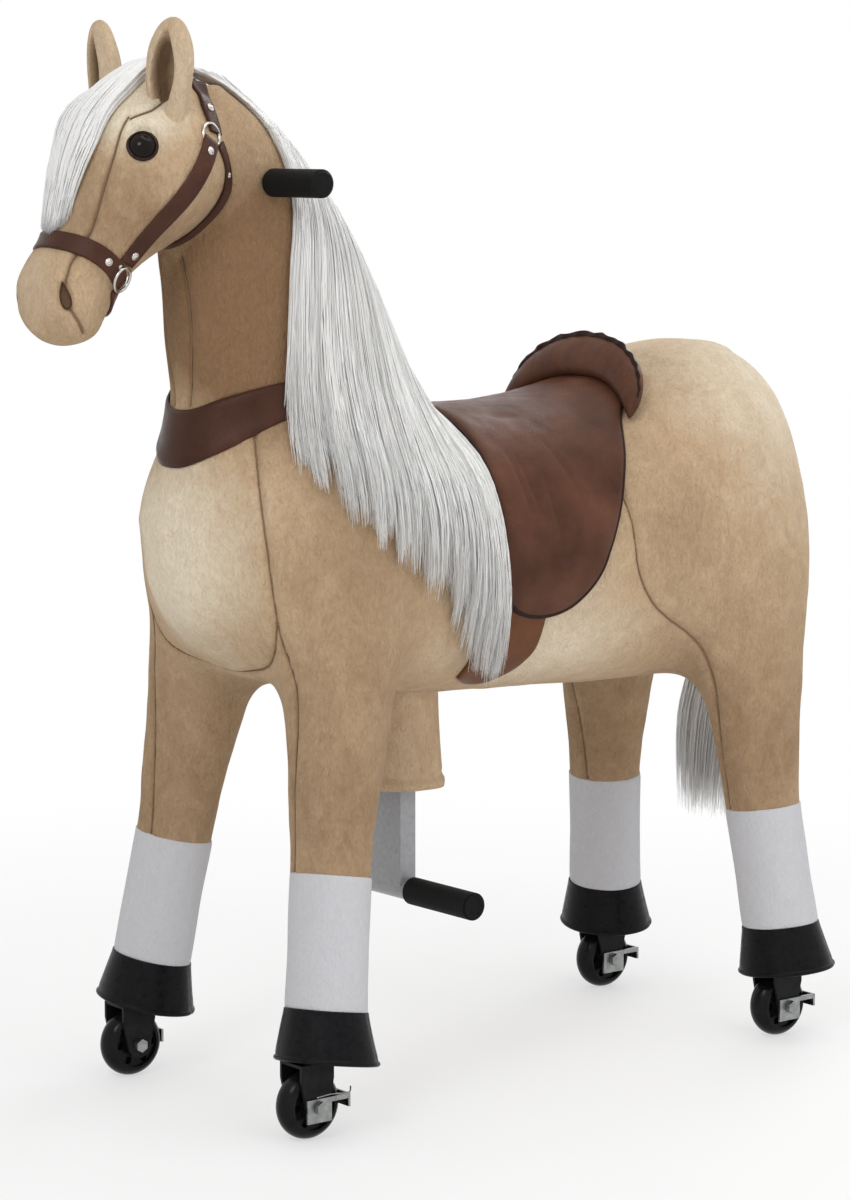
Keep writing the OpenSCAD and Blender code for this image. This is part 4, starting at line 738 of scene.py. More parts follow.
def skin_piece(name, bm, *cuts):
    """A piece of the skin: each cut is a plane, and whether its far side is kept."""
    for (co, no, _), keep_far in cuts:
        bmesh.ops.bisect_plane(bm, geom=bm.verts[:] + bm.edges[:] + bm.faces[:], plane_co=co, plane_no=no,
                               clear_inner=keep_far, clear_outer=not keep_far)
    me = bpy.data.meshes.new(name)
    bm.to_mesh(me)
    bm.free()
    me.shade_smooth()
    flat = np.zeros(len(me.vertices) * 3, np.float32)
    me.attributes["turned"].data.foreach_get("vector", flat)
    me.normals_split_custom_set_from_vertices(unit(flat.reshape(-1, 3)).tolist())
    me.attributes.remove(me.attributes["turned"])
    return place(name, me, TAN)


COARSE, FINE = 0.0036, 0.0017
whole = dressed((-0.475, 0.545), 0.18, (0.225, 1.065), COARSE)
body = skin_piece("plush_body", whole.copy(), (FRONT_CUT, False), (REAR_CUT, False), (HEAD_CUT, False))
front = skin_piece("plush_front_legs", whole.copy(), (FRONT_CUT, True))
rear = skin_piece("plush_rear_legs", whole.copy(), (REAR_CUT, True))
whole.free()
head = skin_piece("plush_head", dressed((0.30, 0.545), 0.1, (0.76, 1.065), FINE), (HEAD_CUT, True))
BENDS = {"front": ("steering", "front_legs", FRONT_CUT), "rear": ("torso", "rear_legs", REAR_CUT)}


def bend(o):
    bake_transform(o)


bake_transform(body)
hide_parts("torso_plush", "neck_plush")
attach(head, "steering")
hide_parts("head_plush")
bend(front)
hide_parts("front_leg_left", "front_leg_right")
bend(rear)
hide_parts("rear_leg_left", "rear_leg_right")

# Cords sunk in the sewn grooves, coloured as the tan plush in shade: painted shade along the seams
CORD_SINK, CORD_R = 0.0015, 0.0008
for word, rows in SEAMS.items():
    made = []
    for pts in rows:
        for side in SIDES:
            line, n = on_skin(smooth(pts, SEAM_STEPS) * [1, side, 1])
            made.append(tube(line - n * CORD_SINK, CORD_R, 6))
    o = piece(f"seam_{word}", *join(made), SEAM_SHADE)
    if word in BENDS:
        bend(o)
    else:
        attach(o, "steering")

# Socks and hooves: share of the sock's height and of its radius, and height over the sole and radius
SOCK = smooth([(-0.02, 0.93), (0.0, 0.985), (0.06, 1.0), (0.25, 0.99), (0.5, 0.975), (0.75, 0.985), (0.92, 0.995),
               (0.975, 0.995), (1.0, 0.975), (1.005, 0.94), (1.0, 0.86)], 5)
SOCK_LIFT = 0.0011
HOOF_OUT = smooth([
    (0.000, 0.0470), (0.0004, 0.0512), (0.0016, 0.0530), (0.0034, 0.0534), (0.0050, 0.0526), (0.0060, 0.0514),
    (0.0075, 0.0512), (0.0120, 0.0505), (0.0220, 0.0483), (0.0340, 0.0458), (0.0450, 0.0435), (0.0495, 0.0427),
    (0.0515, 0.0425), (0.0525, 0.0417), (0.0522, 0.0400), (0.0490, 0.0390)], 3)
HOOF_IN = ((0.048, 0.0375), (0.020, 0.0385), (0.008, 0.0405), (0.0, 0.0425))
HOOF_SIDES, WELT_AT, WAVE_TOP = 96, 2.2, 0.055
for end, body_name, word in ((0, "front_legs", "front"), (1, "rear_legs", "rear")):
    socks, hooves = [], []
    for side in SIDES:
        leg = LEGS[end, side]
        rings = []
        for t, r in SOCK:
            ring = leg.ring(HOOF_SHARE + (NEAR_SHARE - HOOF_SHARE) * t, SOCK_R * r, 72)
            ring = ring + (ring - ring.mean(0)) * jitter(ring * [1, 1, 0.5], 34.0, 0.03, end * 3.0 + side)[:, None]
            if r > 0.97 and t > 0.5:
                ring = ring + plush_normal(ring) * np.maximum(SOCK_LIFT - plush_at(ring), 0)[:, None]
            rings.append(ring)
        socks.append(skin(rings))
        turn = turns(HOOF_SIDES)
        welt = 1 - 0.010 * np.exp(-((np.abs((turn - WELT_AT + math.pi) % (2 * math.pi) - math.pi)) / 0.05) ** 2)
        wavy = 1 + 0.006 * np.sin(3 * turn + 2 * side + end) + 0.004 * np.sin(7 * turn + 1.3 * end)
        rings = [leg.ring(h / (PIVOT_Z - SOLE_Z), r * welt * (1 + (wavy - 1) * (1 - h / WAVE_TOP)), HOOF_SIDES)
                 for h, r in HOOF_OUT]
        rings += [leg.ring(h / (PIVOT_Z - SOLE_Z), r, HOOF_SIDES) for h, r in HOOF_IN]
        hooves.append(skin(rings, loop=True))
    wear(piece(f"socks_{word}", *join(socks), WHITE), body_name, "plush_white", f"{word}_socks", fill=0.9)
    wear(piece(f"hooves_{word}", *join(hooves), HOOF), body_name, "hoof_black", f"{word}_hooves")


# Saddle
def torso_point(x, a):
    mid, hz, hy = torso_at(x)
    c, s = math.cos(math.radians(a)), math.sin(math.radians(a))
    return np.array([x, hy * math.copysign(abs(c) ** (2 / FULL), c),
                     mid + hz * math.copysign(abs(s) ** (2 / FULL), s)])


def edge_round(v, power=8):
    return np.clip(1 - np.abs(v) ** power, 0, 1) ** 0.5


SADDLE_BACK_X, SADDLE_L, SADDLE_T, LEATHER_GAP = -0.228, 0.273, 0.0085, 0.0024
CREASE_W, PIPING_R = 0.0024, 0.0034
SADDLE = smooth([[0, 5], [0.03, 13], [0.09, 21], [0.24, 34], [0.345, 57], [0.48, 88], [0.62, 103], [0.76, 108],
                 [0.9, 106], [1, 98]], 8)


def leather_sheet(x0, length, rows, thick, nu, nv, base, mirror_y=1, creases=()):
    """A sheet of leather on the body: rows give a share of the length and two end angles."""
    us = np.linspace(0, 1, nu)
    vs = np.sin(np.linspace(-1, 1, nv) * math.pi / 2 * 0.96) / math.sin(math.pi / 2 * 0.96)
    grid = np.array([[torso_point(x0 + u * length, lo + (hi - lo) * (v + 1) / 2) for v in vs]
                     for u in us for lo, hi in [at(rows, u)]])
    grid = grid.reshape(nu, nv, 3) * [1, mirror_y, 1]
    p, n = on_skin(grid)
    crown = edge_round(vs, 10)[None, :] * edge_round(us * 2 - 1, 26)[:, None]
    points = p.reshape(-1, 3)
    soft = (jitter(points, 16.0, 0.0014) + jitter(points, 60.0, 0.0005, 2.0)).reshape(nu, nv)
    for x1, z1, x2, z2, deep in creases:
        px, pz, dx, dz = p[..., 0] - x1, p[..., 2] - z1, x2 - x1, z2 - z1
        t = np.clip((px * dx + pz * dz) / (dx ** 2 + dz ** 2), 0, 1)
        off = np.hypot(px - t * dx, pz - t * dz)
        soft -= deep * np.exp(-(off / CREASE_W) ** 2) * np.sin(np.clip(t, 0.02, 0.98) * math.pi)
    outer = p + n * (base + thick * (0.35 + 0.65 * crown) + soft * crown)[..., None]
    inner = p + n * (base * 0.4)
    return outer, inner


CREASES = [(0.014, 0.66, 0.004, 0.585, 0.003), (0.005, 0.655, -0.006, 0.6, 0.0024),
           (-0.04, 0.67, -0.062, 0.615, 0.0018), (0.02, 0.69, -0.05, 0.685, 0.0016),
           (-0.115, 0.66, -0.07, 0.6, 0.0014), (-0.02, 0.64, -0.03, 0.57, 0.0018)]
rows = np.column_stack([SADDLE[:, 0], 90 - SADDLE[:, 1], 90 + SADDLE[:, 1]])
outer, inner = leather_sheet(SADDLE_BACK_X, SADDLE_L, rows, SADDLE_T, 96, 200, LEATHER_GAP, 1, CREASES)
wear(piece("saddle_leather", *sheet_mesh(outer, inner), LEATHER), "torso", "leather_saddle", "saddle_seat", fill=0.5)
wear(piece("saddle_piping", *tube(border(outer) * 0.62 + border(inner) * 0.38, PIPING_R, 10, True), EDGE), "torso",
     "leather_saddle")

girths = []
GIRTH = smooth([[0, -33, -14], [0.06, -40, -13], [0.2, -49, -12], [0.45, -58, -11], [0.75, -58, -10], [1, -52, -9]], 6)
for side in SIDES:
    flap = leather_sheet(SADDLE_BACK_X + SADDLE_L - 0.066, 0.083, GIRTH, 0.0034, 40, 48, 0.0012, side)
    girths.append(sheet_mesh(*flap))
wear(piece("saddle_flaps", *join(girths), LEATHER_LIGHT), "torso", "leather_light", "saddle_girth")

# Cantle: a padded crescent with a gathered seam along its top
CANTLE_H, CANTLE_T, CANTLE_SPAN, CANTLE_LEAN = 0.042, 0.048, 37.5, 0.010
ks = np.sin(np.linspace(-1, 1, 141) * math.pi / 2)
rings, ridge = [], []
for kk in ks:
    a = 90 + kk * CANTLE_SPAN
    x = SADDLE_BACK_X + SADDLE_L * (0.085 + 0.13 * kk * kk)
    cap = max(1 - abs(kk) ** 5, 0.0) ** 0.5
    tall = CANTLE_H * (1 - 0.42 * kk * kk) * max(cap, 0.03)
    thick = CANTLE_T * (1 - 0.40 * kk * kk) * max(cap, 0.03)
    base, up = skin_point(torso_point(x, a), LEATHER_GAP + 0.004)
    ahead = unit(np.array([1, 0, 0]) - up * up[0])
    pucker = 0.030 * math.sin(kk * 62 + 1.3 * math.sin(kk * 23))
    ring = []
    for b in turns(48):
        rise = (math.sin(b) + 1) / 2
        wide = (1 - 0.34 * rise ** 1.4) * (1 + pucker * rise ** 3)
        ring.append(base + up * tall * rise + ahead * (thick / 2 * wide * math.cos(b) - CANTLE_LEAN * rise * cap))
    rings.append(ring)
    ridge.append((base + up * tall * 1.015 - ahead * CANTLE_LEAN * cap, up, ahead, cap))
wear(piece("saddle_cantle_roll", *skin(rings), LEATHER), "torso", "leather_saddle", "saddle_cantle", fill=0.85)
frill_o, frill_i = [], []
FRILL_END, FRILL_FADE = 20, 14
last = len(ridge) - 1 - FRILL_END
for f in np.linspace(FRILL_END, last, 420):
    lo = min(int(f), len(ridge) - 2)
    p0, up, ahead, cap = (a * (1 - f + lo) + b * (f - lo) for a, b in zip(ridge[lo], ridge[lo + 1]))
    wave = (0.0011 * math.sin(f * 0.95) + 0.0006 * math.sin(f * 0.41 + 1)) * cap
    rise = (0.0042 + 0.0008 * math.sin(f * 0.62)) * cap * min((f - FRILL_END) / FRILL_FADE, (last - f) / FRILL_FADE, 1)
    foot, top = p0 - up * 0.002, p0 + up * rise + ahead * wave - ahead * 0.001
    frill_o.append([foot + ahead * 0.0011, p0 + ahead * (0.0011 + wave * 0.5), top + ahead * 0.0008])
    frill_i.append([foot - ahead * 0.0011, p0 - ahead * (0.0011 - wave * 0.5), top - ahead * 0.0008])
wear(piece("saddle_cantle_seam", *sheet_mesh(np.array(frill_o), np.array(frill_i)), EDGE), "torso", "leather_saddle")

# Pedal sleeve: a plush tube sewn under the belly, with a hem
SLEEVE_LOW, SLEEVE_RX, SLEEVE_RY, SLEEVE_T = 0.31, 0.046, 0.056, 0.0035
outer, inner = [], []
for t in np.linspace(0, 1, 30):
    ring_o, ring_i = [], []
    for a in np.linspace(0, 2 * math.pi, 73):
        fold = 1 + 0.035 * math.sin(3 * a + 0.6) * (1 - t) + 0.018 * math.sin(7 * a + 2 * t) * (1 - t)
        wide = 1.1 - 0.1 * math.sin(t * math.pi / 2)
        px, py = PEDAL_X + SLEEVE_RX * wide * fold * math.cos(a), SLEEVE_RY * wide * fold * math.sin(a)
        belly = BELLY_Z + BODY_D * at(TORSO, (px - BODY_BACK_X) / BODY_L)[0] + 0.012
        pz = SLEEVE_LOW + (belly - SLEEVE_LOW) * t
        high = pz - SLEEVE_LOW
        hem = 0.0018 * math.exp(-((high - 0.006) / 0.005) ** 2) - 0.0022 * math.exp(-((high - 0.013) / 0.002) ** 2)
        out = np.array([math.cos(a), math.sin(a), 0])
        p = np.array([px, py, pz])
        ring_o.append(p + out * hem)
        ring_i.append(p - out * SLEEVE_T)
    outer.append(ring_o)
    inner.append(ring_i)
outer, inner = np.array(outer), np.array(inner)
sleeve = piece("pedal_sleeve_plush", *skin(np.concatenate([outer[:, :-1], inner[::-1, :-1]]), loop=True), TAN)
shares(sleeve.data, tone=np.full(len(sleeve.data.vertices), 0.5))
wear(sleeve, "torso", "plush_tan", "pedal_sleeve")
tall = np.linalg.norm(np.diff(outer, axis=0), axis=2).sum(0).mean()


# Straps on the head and the collar
def strap_mesh(points, normals, width, thick, lift, closed=False, dist=head_d):
    """A strap with rounded edges that follows the skin across its width too."""
    p, n = np.asarray(points, float), np.asarray(normals, float)
    side = unit(np.cross(n, tangents(p, closed)))
    width = np.broadcast_to(width, len(p))
    profile = np.array([(-1, 0.35), (-0.97, 0.75), (-0.9, 0.96), (-0.78, 1.02), (-0.6, 0.98), (0, 1.0), (0.6, 0.98),
                        (0.78, 1.02), (0.9, 0.96), (0.97, 0.75), (1, 0.35), (0.97, 0.0), (0.5, -0.2), (0, -0.2),
                        (-0.5, -0.2), (-0.97, 0.0)])
    rings = []
    for i in range(len(p)):
        row = p[i] + side[i] * (profile[:, 0] * width[i] / 2)[:, None]
        row, rn = on_skin(row, np.full(len(profile), lift), 4, dist)
        rings.append(row + rn * (profile[:, 1] * thick)[:, None])
    return skin(rings, loop=closed)


def head_path(rows, steps):
    p = np.array([head_point(s, a) for s, a in smooth(rows, steps)])
    return on_skin(p, dist=head_d)


def mirror_rows(rows):
    return [(s, 180 - a) for s, a in rows]


BAND_W, CROWN_W, THROAT_W, CHIN_W = 0.020, 0.018, 0.013, 0.016
STRAP_T, THIN_T, STRAP_LIFT, NECK_LIFT = 0.0028, 0.0026, 0.0008, 0.0010
BAND = [(0.717 + 0.025 * math.sin(math.radians(a)) ** 2, a) for a in range(0, 360, 5)]
p, n = on_skin(np.array([head_point(s, a) for s, a in BAND]), dist=head_d)
parts = {"halter_noseband": [strap_mesh(p, n, BAND_W, STRAP_T, STRAP_LIFT, closed=True)]}
CHEEK = [(0.675, -22), (0.52, -16), (0.37, -11), (0.205, -5)]
CHIN = [(0.755, -33), (0.775, -48), (0.785, -64), (0.785, -90), (0.785, -116), (0.775, -132), (0.755, -147)]
CROWN = [(0.341, 0.067, 0.987), (0.3394, 0.0649, 0.9952), (0.3392, 0.0547, 1.0125), (0.3335, 0.0333, 1.029),
         (0.33, 0.0, 1.04)]
THROAT = [(0.336, 0.07, 0.977), (0.332, 0.0691, 0.97), (0.3227, 0.0626, 0.9527), (0.3196, 0.058, 0.9361),
          (0.3234, 0.0548, 0.9235), (0.3297, 0.05, 0.9119), (0.342, 0.034, 0.897), (0.35, 0.0, 0.888)]


def over(points, steps):
    """A path on the skin from the left side's points over to the right side's."""
    left = np.array(points)
    return on_skin(smooth(np.vstack([left, left[:-1][::-1] * [1, -1, 1]]), steps))


parts["halter_cheek_straps"] = [
    strap_mesh(*head_path(r, 10), BAND_W, STRAP_T, STRAP_LIFT) for r in (CHEEK, mirror_rows(CHEEK))]
parts["halter_crown_strap"] = [strap_mesh(*over(CROWN, 10), CROWN_W, STRAP_T, NECK_LIFT, dist=plush_d)]
parts["halter_throat_strap"] = [strap_mesh(*over(THROAT, 10), THROAT_W, THIN_T, NECK_LIFT, dist=plush_d),
                                strap_mesh(*head_path(CHIN, 8), CHIN_W, THIN_T, STRAP_LIFT)]
for node, made in parts.items():
    wear(piece(node.replace("halter", "leather_halter"), *join(made), LEATHER_DARK), "steering", "leather_dark", node)


def stud(p, n, r):
    """A domed rivet with a rim, standing on the point p."""
    n = unit(n)
    u = across(n)
    w = np.cross(n, u)
    rows = [(1.0, -0.3), (1.0, 0.1), (0.95, 0.24), (0.84, 0.28), (0.76, 0.22), (0.72, 0.3), (0.55, 0.46),
            (0.3, 0.56), (0.08, 0.6)]
    return skin([p + n * r * h + circle(u, w, 18) * r * wide for wide, h in rows])


HEAD_STUD_LIFT, NECK_STUD_LIFT = 0.0034, 0.0036
STUDS = [(0.718, 4, 0.0040), (0.640, -20.5, 0.0042), (0.245, -6.5, 0.0042), (0.699, -14, 0.0024)]
made = []
for s, a, r in STUDS:
    for rows in ([(s, a)], mirror_rows([(s, a)])):
        made.append(stud(*skin_point(head_point(*rows[0]), HEAD_STUD_LIFT, head_d), r))
for spot, r in (((0.3392, 0.0555, 1.011), 0.0042), ((0.3215, 0.061, 0.948), 0.0030)):
    for side in SIDES:
        made.append(stud(*skin_point(np.array(spot) * [1, side, 1], NECK_STUD_LIFT), r))
wear(piece("halter_rivets", *join(made), BRIGHT), "steering", "zinc_steel")


def neck_point(t, a):
    sweep, hx, hy = at(NECK, t)
    c, s = math.cos(math.radians(a)), math.sin(math.radians(a))
    return np.array([NECK_X + sweep * NECK_REACH + hx * NECK_L / 2 * c, hy * NECK_W / 2 * s, NECK_FOOT_Z + t * NECK_H])


# The collar's angle from the front, and the shares of the neck's height at its edges
COLLAR_SIDE = [[0, 0.134, 0.266], [14, 0.142, 0.272], [34, 0.180, 0.300], [62, 0.245, 0.330], [90, 0.272, 0.342],
               [120, 0.290, 0.348], [150, 0.308, 0.362], [180, 0.320, 0.374]]
COLLAR = smooth([[-a, lo, hi] for a, lo, hi in COLLAR_SIDE[:0:-1]] + COLLAR_SIDE, 8)
vs = np.linspace(0, 1, 13)
grid = np.array([[neck_point(lo + (hi - lo) * v_, a) for v_ in vs] for a, lo, hi in COLLAR])
p, n = on_skin(grid)
round_v = edge_round(vs * 2 - 1, 10)[None, :, None]
COLLAR_GAP, COLLAR_T, COLLAR_BACK = 0.0010, 0.0030, 0.0003
collar_o = p + n * (COLLAR_GAP + COLLAR_T * (0.3 + 0.7 * round_v))
collar_i = p + n * COLLAR_BACK
collar = piece("leather_collar", *sheet_mesh(collar_o, collar_i), LEATHER_DARK)
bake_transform(collar)
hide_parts("neck_collar")


# Ears: plump leaves with a fold in front, painted darker inside as shade
EAR_H, EAR_W, EAR_T = 0.095, 0.0275, 0.0165
EAR_ROWS = smooth([[-0.3, 0.55, 0.85], [0, 0.62, 0.9], [0.2, 0.84, 1], [0.4, 0.98, 0.98], [0.58, 1, 0.9],
                   [0.74, 0.9, 0.78], [0.88, 0.66, 0.6], [0.96, 0.4, 0.38], [1, 0.1, 0.1]], 8)


def ear_d(x, y, z):
    """Distances to one ear in its own frame, with and without its fold: x forward, y outward, z up."""
    t = z / EAR_H
    wide, deep = at(EAR_ROWS, np.clip(t, -0.3, 1))
    wide, deep = wide * EAR_W, deep * EAR_T
    lean = np.clip(t, 0, 1) ** 1.5 * 0.010
    yy, xx = y - lean, x - 0.004 * t
    whole = radial(np.hypot(xx, yy), np.hypot(xx / deep, yy / wide))
    whole = np.maximum(whole, np.maximum(-0.3 - t, t - 1) * EAR_H)
    open_ = np.clip(np.sin(np.clip((t + 0.08) / 0.98, 0, 1) * math.pi), 0.02, 1) ** 0.7
    half, in_ = wide * 0.56 * open_, deep * 1.42 * open_
    fold = radial(np.hypot(xx - deep * 0.95, yy), np.hypot((xx - deep * 0.95) / in_, yy / half))
    return smax(whole, -fold, 0.005), whole


EAR_LOW, EAR_HIGH, EAR_STEP = (-0.03, -0.036, -0.02), (0.034, 0.048, 0.099), 0.0014
axes = [np.arange(a, b, EAR_STEP) for a, b in zip(EAR_LOW, EAR_HIGH)]
d = ear_d(*np.meshgrid(*axes, indexing="ij", sparse=True))[0]
v, q = quads_of(np.broadcast_to(d, [len(a) for a in axes]).astype(np.float32), EAR_STEP, EAR_LOW)
inside = -ear_d(v[:, 0], v[:, 1], v[:, 2])[1]
shade = np.clip((inside - 0.002) / 0.012, 0, 1)
v = v + jitter(v, 40.0, 0.0008)[:, None] * unit(v * [1, 1, 0.2])
made, turn = [], math.radians(14)
for side in SIDES:
    w = np.column_stack([v[:, 0] * math.cos(turn) - v[:, 1] * math.sin(turn),
                         v[:, 0] * math.sin(turn) + v[:, 1] * math.cos(turn), v[:, 2]])
    w = (w + [HEAD_X + 0.056, 0.053, HEAD_Z + 0.004]) * [1, side, 1]
    made.append((w, [tuple(f) for f in (q if side > 0 else q[:, ::-1])]))
o = piece("ears_plush", *join(made), TAN)
# painted shade inside the fold: darker and lower in tone the deeper in
shares(o.data, dark=np.tile(0.75 * shade, 2), tone=np.tile(0.60 - 0.35 * shade, 2))
wear(o, "steering", "plush_tan", "ears", fill=0.8)


# Eyes with their rims: domes cut from a larger ball
EYE_R, EYE_RISE, EYE_SINK, RIM_R, RIM_WIRE = 0.0136, 0.0088, 0.0016, 0.0141, 0.0017
BALL_R = (EYE_R * EYE_R + EYE_RISE * EYE_RISE) / (2 * EYE_RISE)
rows = [(EYE_R, -0.004)] + [(BALL_R * math.sin(b), EYE_RISE - BALL_R * (1 - math.cos(b)))
                            for b in np.linspace(math.asin(min(EYE_R / BALL_R, 1)), 0.02, 16)]
balls, rims = [], []
for side in SIDES:
    n = unit(head_point(*EYE_AT, 0.02) - EYE) * [1, side, 1]
    c = EYE * [1, side, 1] - n * EYE_SINK
    u = across(n)
    round_ = circle(u, np.cross(n, u), 48)
    balls.append(skin([c + n * z + round_ * r for r, z in rows]))
    rims.append(tube(c + n * 0.0006 + round_ * RIM_R, RIM_WIRE, 10, True))
wear(piece("eye_domes", *join(balls), EYE_DARK), "steering", "eye_gloss", "eyes")
wear(piece("eye_rims", *join(rims), EYE_RIM), "steering", "eye_gloss")

# Nostrils: drop-shaped patches with a sewn edge
patches, edges = [], []
down = unit(np.array([0.494, 0.0435, 0.822]) - np.array([0.4965, 0.0385, 0.848]))
for side in SIDES:
    p, n = skin_point(NOSTRIL * [1, side, 1])
    e1 = unit(down * [1, side, 1] - n * (n @ (down * [1, side, 1])))
    e2 = np.cross(n, e1)
    a = turns(44)
    drop = np.column_stack([-0.0135 * np.cos(a), 0.0066 * np.sin(a) * np.sin(a / 2) ** 1.1])
    rings = []
    for f, lift in ((0.04, -0.0022), (0.4, -0.0020), (0.75, -0.0010), (1.0, 0.0004), (1.04, -0.0012)):
        flat = p + e1 * (drop[:, :1] * f) + e2 * (drop[:, 1:] * f)
        rings.append(on_skin(flat, np.full(len(flat), lift), 4)[0])
    patches.append(skin(rings))
    line = on_skin(p + e1 * drop[:, :1] + e2 * drop[:, 1:], np.full(len(drop), 0.0003), 4)[0]
    edges.append(tube(line, CORD_R, 6, True))
wear(piece("nostrils", *join(patches), NOSE), "steering", "plush_tan")
wear(piece("nostril_edges", *join(edges), THREAD), "steering", "plush_tan")


# Hair
def side_table(h=0.004):
    """How far out the skin's left side reaches at each x and z."""
    xs, ys, zs = np.arange(-0.1, 0.46, h), np.arange(0, 0.2, h), np.arange(0.40, 1.08, h)
    x, y, z = np.meshgrid(xs, ys, zs, indexing="ij", sparse=True)
    d = np.broadcast_to(plush_d(x, y, z), (len(xs), len(ys), len(zs)))
    inside = d < 0
    last = np.where(inside.any(1), inside.shape[1] - 1 - np.argmax(inside[:, ::-1], axis=1), 0)
    i, j = np.indices(last.shape)
    d0, d1 = d[i, last, j], d[i, np.minimum(last + 1, len(ys) - 1), j]
    y_ = ys[last] + h * np.clip(d0 / np.minimum(d0 - d1, -1e-6), 0, 1)
    return xs, zs, np.where(inside.any(1), y_, 0.0)


TX, TZ, TY = side_table()


def side_y(x, z):
    i = np.clip((x - TX[0]) / (TX[1] - TX[0]), 0, len(TX) - 1.001)
    j = np.clip((z - TZ[0]) / (TZ[1] - TZ[0]), 0, len(TZ) - 1.001)
    i0, j0 = i.astype(int), j.astype(int)
    fi, fj = i - i0, j - j0
    return ((TY[i0, j0] * (1 - fi) + TY[i0 + 1, j0] * fi) * (1 - fj)
            + (TY[i0, j0 + 1] * (1 - fi) + TY[i0 + 1, j0 + 1] * fi) * fj)


# Guides of the mane from its crest to the tips, front to back, as x and z
MANE = [
    [(0.33, 1.047), (0.292, 1.033), (0.258, 0.985), (0.245, 0.923), (0.252, 0.864), (0.258, 0.8),
     (0.264, 0.745), (0.271, 0.698), (0.278, 0.664)],
    [(0.29, 1.032), (0.25, 0.997), (0.226, 0.947), (0.218, 0.89), (0.222, 0.83), (0.228, 0.77), (0.234, 0.715),
     (0.241, 0.664), (0.248, 0.615)],
    [(0.245, 0.999), (0.213, 0.957), (0.193, 0.907), (0.186, 0.85), (0.187, 0.79), (0.19, 0.73),
     (0.195, 0.675), (0.203, 0.625), (0.211, 0.576)],
    [(0.2, 0.954), (0.173, 0.912), (0.158, 0.862), (0.151, 0.8), (0.149, 0.745), (0.15, 0.69), (0.153, 0.64),
     (0.157, 0.59), (0.162, 0.54)],
    [(0.16, 0.906), (0.137, 0.862), (0.123, 0.807), (0.115, 0.75), (0.111, 0.695), (0.11, 0.645),
     (0.111, 0.595), (0.113, 0.548), (0.115, 0.5)],
    [(0.12, 0.841), (0.104, 0.797), (0.094, 0.747), (0.088, 0.695), (0.084, 0.645), (0.082, 0.598),
     (0.081, 0.552), (0.08, 0.503), (0.079, 0.448)],
    [(0.09, 0.778), (0.08, 0.743), (0.073, 0.703), (0.069, 0.66), (0.066, 0.615), (0.064, 0.57),
     (0.061, 0.525), (0.057, 0.474), (0.051, 0.424)],
    [(0.066, 0.728), (0.063, 0.713), (0.061, 0.688), (0.061, 0.65), (0.061, 0.615), (0.06, 0.575),
     (0.057, 0.535), (0.053, 0.49), (0.047, 0.442)]]
GUIDES = np.array([smooth(g, 2) for g in MANE])
STEPS = GUIDES.shape[1]


def mane_path(u, fan, lift, phase, reach, loose=1.0, pull=0.0):
    """One hair: u along the crest, fan its place in its lock, lift its height over the skin."""
    t = np.linspace(0, 1, STEPS) * reach
    tip = np.clip((t - 0.5) / 0.5, 0, 1)
    share = np.clip(u + fan * (1 - 0.72 * t) + pull * tip * tip * (3 - 2 * tip), 0, 1) * (len(GUIDES) - 1)
    k0 = np.minimum(share.astype(int), len(GUIDES) - 2)
    f = share - k0
    idx = t * (STEPS - 1)
    lo = np.minimum(idx.astype(int), STEPS - 2)
    fr = idx - lo

    def get(k_):
        return GUIDES[k_, lo] * (1 - fr)[:, None] + GUIDES[k_, lo + 1] * fr[:, None]

    xz = get(k0) * (1 - f)[:, None] + get(k0 + 1) * f[:, None]
    xz[:, 0] += loose * (0.0040 * t * np.sin(5.0 * t + phase) + 0.0015 * t * np.sin(13 * t + 3 * phase))
    y = side_y(xz[:, 0], xz[:, 1])
    fallen = np.minimum(1, t / 0.12)
    saddle_lift = 0.011 * np.clip((0.075 - xz[:, 0]) / 0.03, 0, 1) * np.clip((0.72 - xz[:, 1]) / 0.03, 0, 1)
    lift = lift * np.interp(u, [0, 0.06, 0.22], [0.5, 0.7, 1])
    y = y * fallen + lift * (0.3 + 0.7 * fallen) * (1 + 0.5 * t) + saddle_lift
    for _ in range(3):
        mid = y.copy()
        mid[1:-1] = (y[:-2] + y[2:]) / 2
        y = np.maximum(y, mid)
    for i in range(1, STEPS):
        y[i] = max(y[i], y[i - 1] - 0.30 * abs(xz[i, 1] - xz[i - 1, 1]))
    z = xz[:, 1] + lift * (1 - fallen) * 0.9
    return np.column_stack([xz[:, 0], y, z])


def strands(paths, widths, out, sides=3):
    """Tapered closed hairs along the paths; out points away from what they lie on."""
    paths = np.asarray(paths, float)
    tan = unit(np.gradient(paths, axis=1))
    u = unit(np.cross(tan, out))
    v_ = np.cross(u, tan)
    taper = np.interp(np.linspace(0, 1, paths.shape[1]), [0, 0.1, 0.7, 1], [0.6, 1, 0.8, 0.12])
    ang = turns(sides) + math.pi / 2
    w = np.asarray(widths)[:, None, None] * taper[None, :, None]
    rings = [paths + u * w * math.cos(a) + v_ * w * 0.55 * math.sin(a) for a in ang]
    return join([skin(r) for r in np.stack(rings, 2)])


def hair_piece(name, verts, faces, mat=HAIR):
    me = bpy.data.meshes.new(name)
    me.from_pydata(np.asarray(verts).tolist(), [], faces)
    me.shade_smooth()
    return place(name, me, mat)


